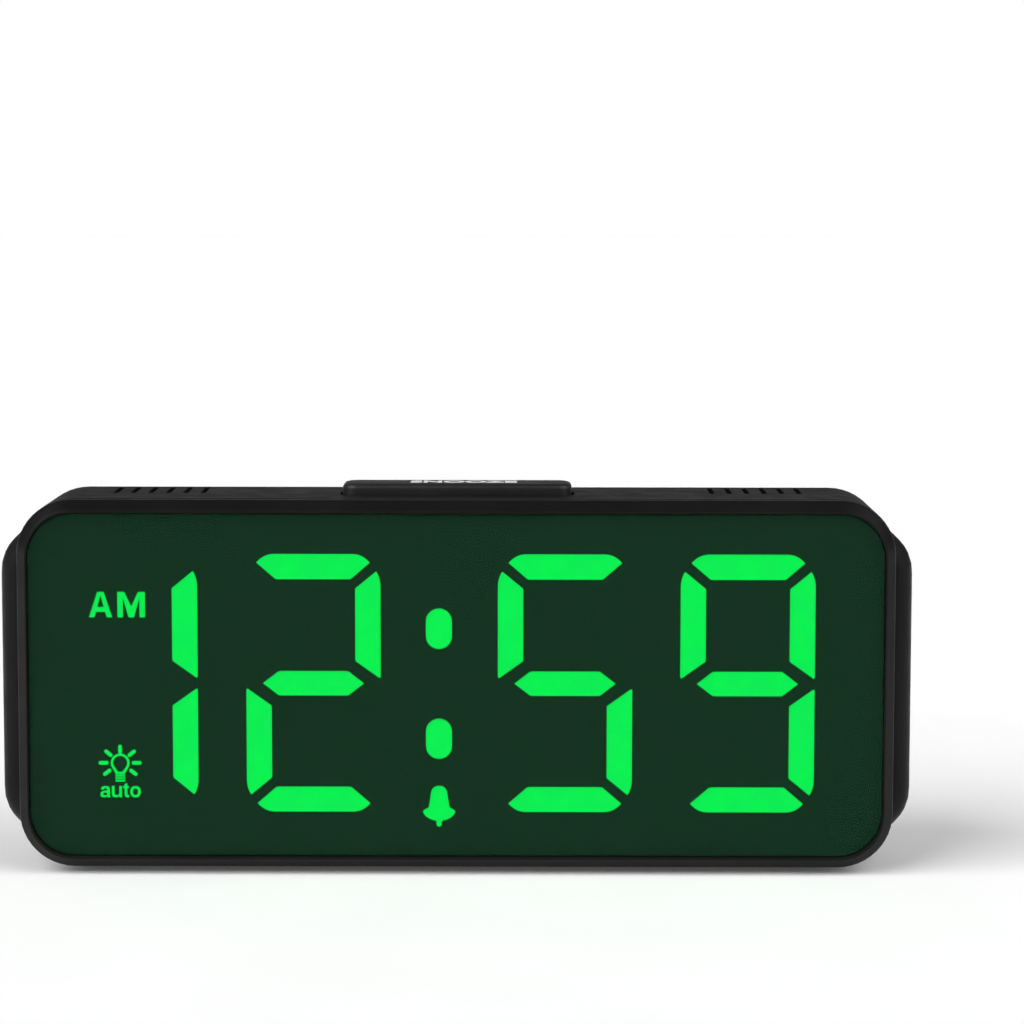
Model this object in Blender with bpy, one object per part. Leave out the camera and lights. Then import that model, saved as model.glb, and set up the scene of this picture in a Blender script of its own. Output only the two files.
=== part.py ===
"""A compact digital alarm clock: lit display in front, snooze bar on top, battery bay and controls behind.

Metres. +X is the viewer's right, the display faces -Y and +Z is up. The origin is under the middle of
the clock, on the surface that its feet stand on.
"""

import math

import bmesh
import bpy
from mathutils import Vector

# Driving dimensions.
GAP = 0.0003
WALL = 0.0018
FOOT_HEIGHT = 0.0010
CASE_WIDTH = 0.1320
CASE_HEIGHT = 0.0558
CASE_CORNER = 0.0083
CHEEK_WIDTH = 0.1380
CHEEK_HEIGHT = 0.0470
CHEEK_CORNER = 0.0068
CHEEK_FRONT, CHEEK_BACK = -0.0122, 0.0060
SNOOZE_RISE = 0.0018
BACK_WIDTH = 0.1200
BACK_HEIGHT = 0.0434

# Depth stations, front to back.
BEZEL_FRONT = -0.0160
BEZEL_EDGE = -0.0143
CASE_FRONT = -0.0127
BEZEL_SKIRT_END = -0.0100
CASE_BACK = 0.0063
COVER_FRONT = CASE_BACK + GAP
TONGUE_FRONT = 0.0048
BACK_INNER = 0.0132
BACK_FACE = 0.0150
BUTTON_TIP = 0.0160
LENS_BACK = -0.0144
FILTER_BACK = -0.0138
MASK_FRONT, MASK_BACK = -0.0135, -0.0105
GUIDE_TIP, GUIDE_FRONT, GUIDE_BACK = -0.0133, -0.0102, -0.0094
LED_TIP = -0.0091
DISPLAY_BOARD_FRONT, DISPLAY_BOARD_BACK = -0.0083, -0.0067
MAIN_BOARD_FRONT, MAIN_BOARD_BACK = 0.0024, 0.0040

MID_Z = FOOT_HEIGHT + CASE_HEIGHT / 2
TOP_Z = FOOT_HEIGHT + CASE_HEIGHT

# Display field, and the digits on it.
FIELD_WIDTH = 0.1286
FIELD_HEIGHT = 0.0520
FIELD_CORNER = 0.0068
STACK_WIDTH = 0.1236
STACK_HEIGHT = 0.0469
STACK_CORNER = 0.0045
DIGIT_WIDTH = 0.0202
DIGIT_HEIGHT = 0.0391
STROKE = 0.00385
DIGIT_X = (-0.0489, -0.0214, 0.0164, 0.0438)
DIGIT_Z = MID_Z + 0.0003
SIDE_ONLY = ("upper_right", "lower_right")
COLON_X = -0.00255
COLON_RISE = (0.0086, -0.0081)
COLON_SIZE = (0.0039, 0.0060)
# Marks, each as x, height above the field's middle, width and height.
MARKS = {
    "am": (-0.05085, 0.0122, 0.0090, 0.0042),
    "bulb": (-0.0505, -0.0119, 0.0072, 0.0062),
    "auto": (-0.0504, -0.0161, 0.0066, 0.0014),
    "bell": (-0.0026, -0.0183, 0.0052, 0.0064),
}
SENSOR_X = 0.0585
SENSOR_RADIUS = 0.0015

# Snooze bar and the switch under it.
SNOOZE_WIDTH = 0.0350
SNOOZE_DEPTH = 0.0078
SNOOZE_CORNER = 0.0022
SNOOZE_Y = -0.0028
SNOOZE_TRAVEL = 0.0010
SNOOZE_BOARD_TOP = 0.0482
SNOOZE_POST_X = 0.0223
SPRING_X = 0.0130

# Slots in the top.
SLOT_COUNT = 6
SLOT_FIRST_X = 0.0390
SLOT_PITCH = 0.00267
SLOT_WIDTH = 0.0008
SLOT_FRONT, SLOT_END = -0.0034, 0.0054

# Battery bay: three AAA cells side by side.
CELL_RADIUS = 0.00525
CELL_LENGTH = 0.0435
CELL_NUB = 0.0008
CELL_PITCH = 0.0110
CELL_Y = 0.0076
BAY_HALF_WIDTH = 0.0262
BAY_HALF_HEIGHT = 0.0172
BAY_FRONT = 0.0020
BAY_WALL = 0.0020
DOOR_SEAT = 0.0010
DOOR_THICKNESS = 0.0015
DOOR_TAB_X = 0.0150

# Controls on the back.
BUTTON_RADIUS = 0.0025
BUTTON_X = (0.0365, 0.0475)
BUTTON_Z = (MID_Z + 0.0060, MID_Z - 0.0060)
BUTTON_NAMES = ("time", "alarm", "up", "down")
SLIDER_X = 0.0420
SLIDER_Z = {"alarm": MID_Z + 0.0160, "volume": MID_Z - 0.0160}
SLIDER_TRAVEL = 0.0030
SCREW_X = 0.0550
SCREW_RISE = 0.0170
SCREW_SPOTS = [(side * SCREW_X, MID_Z + rise) for side in (-1, 1) for rise in (-SCREW_RISE, SCREW_RISE)]
SCREW_HEAD = 0.0118
POST_FRONT = -0.0040
SPEAKER_X, SPEAKER_Z = -0.0430, MID_Z + 0.0020
SPEAKER_RADIUS = 0.0140
SOCKET_X, SOCKET_Z = -0.0380, MID_Z - 0.0184

FEET = ((-0.0540, -0.0062), (0.0540, -0.0062), (-0.0540, 0.0024), (0.0540, 0.0024))
FOOT_RADIUS = 0.0032


# Outlines: lists of points round a flat shape.

def rounded(width, height, radius, centre=(0.0, 0.0), steps=4):
    """A rectangle with corner arcs."""
    points = []
    for turn, (side, rise) in enumerate(((1, 1), (-1, 1), (-1, -1), (1, -1))):
        for step in range(steps + 1):
            angle = math.radians(90 * (turn + step / steps))
            points.append((
                centre[0] + side * (width / 2 - radius) + radius * math.cos(angle),
                centre[1] + rise * (height / 2 - radius) + radius * math.sin(angle),
            ))
    return points


def box(width, height, centre=(0.0, 0.0)):
    half_width, half_height = width / 2, height / 2
    corners = ((1, 1), (-1, 1), (-1, -1), (1, -1))
    return [(centre[0] + a * half_width, centre[1] + b * half_height) for a, b in corners]


def circle(radius, centre=(0.0, 0.0), steps=16):
    turns = [math.tau * step / steps for step in range(steps)]
    return [(centre[0] + radius * math.cos(turn), centre[1] + radius * math.sin(turn)) for turn in turns]


def pointed_bar(length, stroke, centre, upright):
    """A display segment: a bar with a blunt point at each end."""
    half, side = length / 2, stroke / 2
    flat = half - side
    along = ((half, 0), (flat, side), (-flat, side), (-half, 0), (-flat, -side), (flat, -side))
    if upright:
        along = [(-b, a) for a, b in along]
    return [(centre[0] + a, centre[1] + b) for a, b in along]


def case_outline(inset, width=CASE_WIDTH, height=CASE_HEIGHT, corner=CASE_CORNER):
    """The outline of the case, moved inwards, about the middle of the front."""
    radius = max(corner - inset, 0.001)
    return rounded(width - 2 * inset, height - 2 * inset, radius, (0.0, MID_Z))


# Rings: an outline stood up across one axis.

def across_x(outline, x):
    return [(x, a, b) for a, b in outline]


def across_y(outline, y):
    return [(a, y, b) for a, b in outline]


def across_z(outline, z):
    return [(a, b, z) for a, b in outline]


def slab(across, outline, low, high):
    """The two end rings of a straight prism."""
    return [across(outline, low), across(outline, high)]


def turned(across, stations, centre, steps=16):
    """Rings of a turned shape, from (radius, position) stations."""
    return [across(circle(radius, centre, steps), position) for radius, position in stations]


# Objects.

def material(name, colour, roughness, metallic=0.0):
    made = bpy.data.materials.new(name)
    made.use_nodes = True
    shader = made.node_tree.nodes["Principled BSDF"]
    shader.inputs["Base Color"].default_value = (*colour, 1.0)
    shader.inputs["Roughness"].default_value = roughness
    shader.inputs["Metallic"].default_value = metallic
    made.diffuse_color = (*colour, 1.0)
    return made


def skin(mesh, rings):
    """A closed skin over rings of equal length, capped at both ends."""
    loops = [[mesh.verts.new(point) for point in ring] for ring in rings]
    for first, second in zip(loops, loops[1:]):
        for near in range(len(first)):
            far = (near + 1) % len(first)
            mesh.faces.new((first[near], first[far], second[far], second[near]))
    mesh.faces.new(reversed(loops[0]))
    mesh.faces.new(loops[-1])


def solid(name, bodies, finish, place=(0.0, 0.0, 0.0)):
    """An object from a list of ring lists, in world positions, with its origin at place."""
    shape = bmesh.new()
    for rings in bodies:
        skin(shape, rings)
    bmesh.ops.recalc_face_normals(shape, faces=shape.faces)
    bmesh.ops.translate(shape, verts=shape.verts, vec=-Vector(place))
    mesh = bpy.data.meshes.new(name)
    shape.to_mesh(mesh)
    shape.free()
    mesh.materials.append(finish)
    mesh.shade_smooth()
    mesh.set_sharp_from_angle(angle=math.radians(32))
    made = bpy.data.objects.new(name, mesh)
    made.location = place
    bpy.context.collection.objects.link(made)
    return made


def shaped(target, operation, bodies):
    """Cuts bodies from target, or joins them to it, with a hidden helper."""
    helper = solid(f"{target.name}_{operation.lower()}_{len(target.modifiers)}", bodies, HELPER)
    helper.hide_render = True
    helper.display_type = "WIRE"
    modifier = target.modifiers.new(operation.title(), "BOOLEAN")
    modifier.operation = operation
    modifier.solver = "EXACT"
    modifier.object = helper


def cut(target, *bodies):
    shaped(target, "DIFFERENCE", bodies)


def add(target, *bodies):
    shaped(target, "UNION", bodies)


def copy_of(original, name, place):
    made = bpy.data.objects.new(name, original.data)
    made.location = place
    bpy.context.collection.objects.link(made)
    return made


def tube(path, radius, steps=5):
    """Rings round a path of points, for wire."""
    rings = []
    for index, point in enumerate(path):
        before = path[max(index - 1, 0)]
        after = path[min(index + 1, len(path) - 1)]
        along = (after - before).normalized()
        side = along.cross(Vector((0.31, 0.52, 0.79))).normalized()
        up = along.cross(side)
        turns = [math.tau * step / steps for step in range(steps)]
        rings.append([point + radius * (side * math.cos(turn) + up * math.sin(turn)) for turn in turns])
    return rings


def coil(start, axis, radii, length, turns, wire):
    """Rings of a coil spring's wire, which may narrow from one radius to the other."""
    axis = Vector(axis)
    side = axis.orthogonal().normalized()
    up = axis.cross(side)
    count = turns * 9
    path = []
    for index in range(count + 1):
        share = index / count
        angle = math.tau * turns * share
        radius = radii[0] + (radii[1] - radii[0]) * share
        outwards = side * math.cos(angle) + up * math.sin(angle)
        path.append(Vector(start) + axis * length * share + radius * outwards)
    return tube(path, wire)


# The display.

def digit_bars(x):
    """Centre, length and direction of each bar of one digit."""
    across_reach = DIGIT_WIDTH / 2 - STROKE / 2
    rise = DIGIT_HEIGHT / 2 - STROKE / 2
    level = DIGIT_WIDTH - STROKE + 0.00025
    side = DIGIT_HEIGHT / 2 - STROKE + 0.0004
    return {
        "top": ((x, DIGIT_Z + rise), level, False),
        "middle": ((x, DIGIT_Z), level - 0.0012, False),
        "bottom": ((x, DIGIT_Z - rise), level, False),
        "upper_left": ((x - across_reach, DIGIT_Z + rise / 2), side, True),
        "upper_right": ((x + across_reach, DIGIT_Z + rise / 2), side, True),
        "lower_left": ((x - across_reach, DIGIT_Z - rise / 2), side, True),
        "lower_right": ((x + across_reach, DIGIT_Z - rise / 2), side, True),
    }


def lit_outlines(margin):
    """Outline of every lit shape, made larger all round by margin. The first digit shows only a 1."""
    shapes = []
    for index, x in enumerate(DIGIT_X):
        for place, (centre, length, upright) in digit_bars(x).items():
            if index or place in SIDE_ONLY:
                shapes.append(pointed_bar(length + 2 * margin, STROKE - GAP + 2 * margin, centre, upright))
    for rise in COLON_RISE:
        width, height = COLON_SIZE[0] + 2 * margin, COLON_SIZE[1] + 2 * margin
        shapes.append(rounded(width, height, width * 0.49, (COLON_X, MID_Z + rise), 3))
    for x, rise, width, height in MARKS.values():
        shapes.append(box(width + 2 * margin, height + 2 * margin, (x, MID_Z + rise)))
    return shapes


def lit_centres():
    centres = []
    for index, x in enumerate(DIGIT_X):
        centres += [bar[0] for place, bar in digit_bars(x).items() if index or place in SIDE_ONLY]
    centres += [(COLON_X, MID_Z + rise) for rise in COLON_RISE]
    return centres + [(x, MID_Z + rise) for x, rise, _, _ in MARKS.values()]


def stack_outline(inset=0.0):
    return rounded(STACK_WIDTH - 2 * inset, STACK_HEIGHT - 2 * inset, STACK_CORNER - inset, (0.0, MID_Z), 3)


def make_bezel():
    rim = [
        across_y(case_outline(0.0015), BEZEL_FRONT),
        across_y(case_outline(0.0), BEZEL_EDGE),
        across_y(case_outline(0.0), CASE_FRONT - GAP),
    ]
    bezel = solid("front_bezel", [rim], BLACK_PLASTIC)
    skirt = case_outline(WALL + GAP)
    add(bezel, slab(across_y, skirt, CASE_FRONT - 0.0010, BEZEL_SKIRT_END))
    field = rounded(FIELD_WIDTH, FIELD_HEIGHT, FIELD_CORNER, (0.0, MID_Z))
    ledge = rounded(FIELD_WIDTH - 0.0040, FIELD_HEIGHT - 0.0044, 0.0048, (0.0, MID_Z))
    cut(bezel, slab(across_y, field, BEZEL_FRONT - 0.001, LENS_BACK + GAP))
    cut(bezel, slab(across_y, ledge, LENS_BACK - 0.001, BEZEL_SKIRT_END + 0.001))


def make_display():
    lens = rounded(FIELD_WIDTH - 2 * GAP, FIELD_HEIGHT - 2 * GAP, FIELD_CORNER - GAP, (0.0, MID_Z))
    solid("display_lens", [slab(across_y, lens, BEZEL_FRONT + 0.0002, LENS_BACK)], LENS_GLASS)
    solid("display_filter", [slab(across_y, stack_outline(), LENS_BACK + GAP, FILTER_BACK)], FILTER_GREEN)

    mask = solid("segment_mask", [slab(across_y, stack_outline(), MASK_FRONT, MASK_BACK)], MASK_BLACK)
    windows = [slab(across_y, shape, MASK_FRONT - 0.001, MASK_BACK + 0.001) for shape in lit_outlines(0.0)]
    sensor_hole = circle(SENSOR_RADIUS + GAP, (SENSOR_X, MID_Z))
    cut(mask, *windows, slab(across_y, sensor_hole, MASK_FRONT - 0.001, MASK_BACK + 0.001))

    guide = solid("light_guide", [slab(across_y, stack_outline(), GUIDE_FRONT, GUIDE_BACK)], GUIDE_CLEAR)
    add(guide, *[slab(across_y, shape, GUIDE_TIP, GUIDE_BACK - 0.0003) for shape in lit_outlines(-GAP)])
    cut(guide, slab(across_y, sensor_hole, GUIDE_FRONT - 0.001, GUIDE_BACK + 0.001))

    sheet = slab(across_y, stack_outline(), DISPLAY_BOARD_FRONT, DISPLAY_BOARD_BACK)
    board = solid("display_board", [sheet], BOARD)
    led = (0.0016, 0.0009)
    add(board, *[
        slab(across_y, box(*led, centre), LED_TIP, DISPLAY_BOARD_FRONT + 0.0003) for centre in lit_centres()
    ])
    sensor = [
        (SENSOR_RADIUS * 0.7, MASK_FRONT + 0.0003),
        (SENSOR_RADIUS, MASK_FRONT + 0.0009),
        (SENSOR_RADIUS, DISPLAY_BOARD_FRONT - GAP),
    ]
    solid("light_sensor", [turned(across_y, sensor, (SENSOR_X, MID_Z))], SENSOR_AMBER)


# The case.

def make_case():
    edge = 0.0004
    barrel = [
        across_y(case_outline(edge), CASE_FRONT),
        across_y(case_outline(0.0), CASE_FRONT + edge),
        across_y(case_outline(0.0), CASE_BACK),
    ]
    case = solid("case_body", [barrel], BLACK_PLASTIC)
    add(case, cheek_rings(0.0, CHEEK_FRONT, CHEEK_BACK))
    cut(case, slab(across_y, case_outline(WALL), CASE_FRONT - 0.001, CASE_BACK + 0.001))
    cut(case, cheek_rings(WALL, CHEEK_FRONT + WALL, CHEEK_BACK - WALL))

    rib_reach = CHEEK_WIDTH / 2 - WALL / 2 - SCREW_X
    add(case, *[slab(across_y, circle(0.0030, spot), POST_FRONT, CASE_BACK) for spot in SCREW_SPOTS])
    ribs = [box(rib_reach, 0.0016, (x + math.copysign(rib_reach / 2, x), z)) for x, z in SCREW_SPOTS]
    add(case, *[slab(across_y, rib, POST_FRONT, TONGUE_FRONT - 2 * GAP) for rib in ribs])
    for side in (-1, 1):
        post = circle(0.0022, (side * SNOOZE_POST_X, SNOOZE_Y))
        add(case, slab(across_z, post, SNOOZE_BOARD_TOP + GAP, TOP_Z - WALL / 2))

    openings = [slab(across_y, circle(0.0016, spot, 12), -0.0035, CASE_BACK + 0.001) for spot in SCREW_SPOTS]
    for side in (-1, 1):
        pilot = circle(0.0012, (side * SNOOZE_POST_X, SNOOZE_Y), 12)
        openings.append(slab(across_z, pilot, SNOOZE_BOARD_TOP, SNOOZE_BOARD_TOP + 0.0048))
    snooze = rounded(SNOOZE_WIDTH + 2 * GAP, SNOOZE_DEPTH + 2 * GAP, SNOOZE_CORNER + GAP, (0.0, SNOOZE_Y))
    openings.append(slab(across_z, snooze, TOP_Z - 2 * WALL, TOP_Z + 0.001))
    for side in (-1, 1):
        for index in range(SLOT_COUNT):
            x = side * (SLOT_FIRST_X + index * SLOT_PITCH)
            slot = box(SLOT_WIDTH, SLOT_END - SLOT_FRONT, (x, (SLOT_END + SLOT_FRONT) / 2))
            openings.append(slab(across_z, slot, TOP_Z - 2 * WALL, TOP_Z + 0.001))
    for centre in FEET:
        openings.append(slab(across_z, circle(FOOT_RADIUS + GAP, centre), 0.0, FOOT_HEIGHT + 0.0008))
    cut(case, *openings)


def cheek_rings(inset, front, back, fillet=0.0030, steps=3):
    """Rings of the body that bulges out as the two cheeks, with its ends rounded over."""
    rings = []
    for end, inwards in ((front, 1), (back, -1)):
        stations = []
        for step in range(steps + 1):
            angle = math.radians(90 * step / steps)
            extra = fillet * (1 - math.sin(angle))
            depth = end + inwards * fillet * (1 - math.cos(angle))
            outline = case_outline(inset + extra, CHEEK_WIDTH, CHEEK_HEIGHT, CHEEK_CORNER)
            stations.append(across_y(outline, depth))
        rings += stations if inwards == 1 else stations[::-1]
    return rings


def make_feet():
    stations = ((FOOT_RADIUS - 0.0003, 0.0), (FOOT_RADIUS, 0.0003), (FOOT_RADIUS, FOOT_HEIGHT + 0.0005))
    first = solid("foot_1", [turned(across_z, stations, (0.0, 0.0))], RUBBER)
    first.location = (*FEET[0], 0.0)
    for number, centre in enumerate(FEET[1:], start=2):
        copy_of(first, f"foot_{number}", (*centre, 0.0))


# The snooze bar.

def make_snooze():
    place = (0.0, SNOOZE_Y, TOP_Z)
    top = TOP_Z + SNOOZE_RISE
    flange_top = TOP_Z - WALL - GAP
    flange_bottom = flange_top - 0.0010
    rings = []
    for inset, height in ((0.0008, top), (0.0002, top - 0.0003), (0.0, top - 0.0008), (0.0, flange_top - GAP)):
        width, depth = SNOOZE_WIDTH - 2 * inset, SNOOZE_DEPTH - 2 * inset
        rings.append(across_z(rounded(width, depth, SNOOZE_CORNER - inset, (0.0, SNOOZE_Y)), height))
    button = solid("snooze_button", [rings], BLACK_PLASTIC, place)
    flange = rounded(SNOOZE_WIDTH + 0.0032, SNOOZE_DEPTH + 0.0024, SNOOZE_CORNER, (0.0, SNOOZE_Y))
    add(button, slab(across_z, flange, flange_bottom, flange_top))

    switch_top = SNOOZE_BOARD_TOP + GAP + 0.0030
    tip = flange_bottom - GAP
    plunger = slab(across_z, circle(0.00175, (0.0, SNOOZE_Y)), switch_top - 0.0003, tip)
    solid("snooze_plunger", [plunger], DARK_GREY, (0.0, SNOOZE_Y, tip))
    body = box(0.0060, 0.0060, (0.0, SNOOZE_Y))
    switch = solid("snooze_switch", [slab(across_z, body, SNOOZE_BOARD_TOP + GAP, switch_top)], SWITCH_METAL)
    well = circle(0.00175 + GAP, (0.0, SNOOZE_Y))
    cut(switch, slab(across_z, well, switch_top - SNOOZE_TRAVEL - 2 * GAP, switch_top + 0.001))

    wire = 0.0002
    height = flange_bottom - SNOOZE_BOARD_TOP - 2 * GAP - 2 * wire
    for side, name in ((-1, "left"), (1, "right")):
        start = (side * SPRING_X, SNOOZE_Y, SNOOZE_BOARD_TOP + GAP + wire)
        winding = coil(start, (0, 0, 1), (0.0020, 0.0020), height, 4, wire)
        solid(f"snooze_spring_{name}", [winding], STEEL, start)

    outline = rounded(2 * SNOOZE_POST_X + 0.0060, 0.0064, 0.0010, (0.0, SNOOZE_Y), 2)
    sheet = slab(across_z, outline, SNOOZE_BOARD_TOP - 0.0012, SNOOZE_BOARD_TOP)
    board = solid("snooze_board", [sheet], BOARD)
    holes = [circle(0.0012, (side * SNOOZE_POST_X, SNOOZE_Y), 12) for side in (-1, 1)]
    cut(board, *[slab(across_z, hole, SNOOZE_BOARD_TOP - 0.003, SNOOZE_BOARD_TOP + 0.001) for hole in holes])
    head_top = SNOOZE_BOARD_TOP - 0.0012 - GAP
    stations = (
        (0.0017, head_top - 0.0010), (0.0020, head_top - 0.0007), (0.0020, head_top),
        (0.0009, head_top), (0.0009, SNOOZE_BOARD_TOP + 0.0040),
    )
    for side, name in ((-1, "left"), (1, "right")):
        centre = (side * SNOOZE_POST_X, SNOOZE_Y)
        solid(f"board_screw_{name}", [turned(across_z, stations, centre, 12)], STEEL, (*centre, head_top))


# Boards and what stands on them.

def make_main_board():
    outline = rounded(0.0212, 0.0400, 0.0010, (0.0406, MID_Z), 2)
    board = solid("main_board", [slab(across_y, outline, MAIN_BOARD_FRONT, MAIN_BOARD_BACK)], BOARD)
    chips = ((0.0070, 0.0070, (0.0380, MID_Z - 0.0120)), (0.0050, 0.0040, (0.0460, MID_Z - 0.0120)))
    add(board, *[
        slab(across_y, box(width, height, centre), MAIN_BOARD_FRONT - 0.0014, MAIN_BOARD_FRONT + 0.0003)
        for width, height, centre in chips
    ])


def make_ribbon():
    """A flat cable in an S from the display board to the main board."""
    thickness = 0.0003
    front = Vector((0.0180, DISPLAY_BOARD_BACK + GAP + thickness / 2))
    back = Vector((0.0400, MAIN_BOARD_FRONT - GAP - thickness / 2))
    near, far = [], []
    steps = 14
    for step in range(steps + 1):
        share = step / steps
        ease = share * share * (3 - 2 * share)
        slope = 6 * share * (1 - share) * (back.y - front.y)
        along = Vector((back.x - front.x, slope)).normalized()
        point = Vector((front.x + (back.x - front.x) * share, front.y + (back.y - front.y) * ease))
        off = Vector((-along.y, along.x)) * thickness / 2
        near.append(point - off)
        far.append(point + off)
    outline = [tuple(point) for point in near + far[::-1]]
    solid("ribbon_cable", [slab(across_z, outline, MID_Z - 0.0060, MID_Z + 0.0080)], RIBBON)


def make_push_button(name, x, z):
    centre = (x, z)
    stations = (
        (0.0015, 0.0093), (0.0015, 0.0119), (0.0034, 0.0119), (0.0034, BACK_INNER - GAP),
        (BUTTON_RADIUS, BACK_INNER - GAP), (BUTTON_RADIUS, BUTTON_TIP - 0.0004),
        (BUTTON_RADIUS - 0.0004, BUTTON_TIP),
    )
    solid(f"button_{name}", [turned(across_y, stations, centre)], BLACK_PLASTIC, (x, BUTTON_TIP, z))
    switch_back = 0.0075
    plunger = slab(across_y, circle(0.00175, centre), switch_back - 0.0003, 0.0090)
    solid(f"plunger_{name}", [plunger], DARK_GREY, (x, 0.0090, z))
    body = slab(across_y, box(0.0060, 0.0060, centre), MAIN_BOARD_BACK + GAP, switch_back)
    switch = solid(f"switch_{name}", [body], SWITCH_METAL, (x, MAIN_BOARD_BACK, z))
    cut(switch, slab(across_y, circle(0.00175 + GAP, centre), switch_back - 0.0012, switch_back + 0.001))


def make_slider(name, z):
    """A slide switch. Its knob rests at the -X end of its slot."""
    switch_back = 0.0083
    x = SLIDER_X - SLIDER_TRAVEL / 2
    centre = (x, z)
    cap_front = BACK_INNER - 0.0010
    knob = solid(f"{name}_knob", [[
        across_y(box(0.0040, 0.0032, centre), cap_front),
        across_y(box(0.0040, 0.0032, centre), BUTTON_TIP - 0.0005),
        across_y(box(0.0034, 0.0026, centre), BUTTON_TIP - 0.0001),
    ]], BLACK_PLASTIC, (x, BACK_FACE, z))
    add(knob, slab(across_y, box(0.0128, 0.0060, centre), BACK_INNER - GAP - 0.0009, BACK_INNER - GAP))
    add(knob, slab(across_y, box(0.0018, 0.0018, centre), switch_back - 0.0010, cap_front + 0.0003))
    grooves = [box(0.0004, 0.0050, (x + step * 0.0009, z)) for step in (-1, 0, 1)]
    cut(knob, *[slab(across_y, groove, BUTTON_TIP - 0.0005, BUTTON_TIP + 0.001) for groove in grooves])
    body = slab(across_y, box(0.0110, 0.0056, (SLIDER_X, z)), MAIN_BOARD_BACK + GAP, switch_back)
    switch = solid(f"{name}_switch", [body], SWITCH_METAL, (SLIDER_X, MAIN_BOARD_BACK, z))
    slot = box(0.0018 + SLIDER_TRAVEL + 2 * GAP, 0.0018 + 2 * GAP, (SLIDER_X, z))
    cut(switch, slab(across_y, slot, switch_back - 0.0014, switch_back + 0.001))


# The speaker.

def make_speaker():
    centre = (SPEAKER_X, SPEAKER_Z)
    rim = BACK_INNER - GAP
    basket = (
        (0.0080, 0.0100), (0.0128, 0.0119), (0.0128, rim), (SPEAKER_RADIUS, rim), (SPEAKER_RADIUS, 0.0115),
        (0.0093, 0.0094), (0.0040, 0.0094),
    )
    solid("speaker_basket", [turned(across_y, basket, centre, 20)], DARK_GREY, (SPEAKER_X, rim, SPEAKER_Z))
    cone = (
        (0.0010, 0.0119), (0.0028, 0.0116), (0.0035, 0.0111), (0.0112, 0.0125), (0.0118, 0.0128),
        (0.0124, 0.0125), (0.0124, 0.0122), (0.0112, 0.0121), (0.0035, 0.0107), (0.0028, 0.0112),
        (0.0010, 0.0115),
    )
    solid("speaker_cone", [turned(across_y, cone, centre, 20)], PAPER, (SPEAKER_X, rim, SPEAKER_Z))
    magnet = ((0.0061, 0.0056), (0.0065, 0.0060), (0.0065, 0.0091))
    solid("speaker_magnet", [turned(across_y, magnet, centre, 20)], STEEL, (SPEAKER_X, rim, SPEAKER_Z))


# The rear cover and what it carries.

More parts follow.
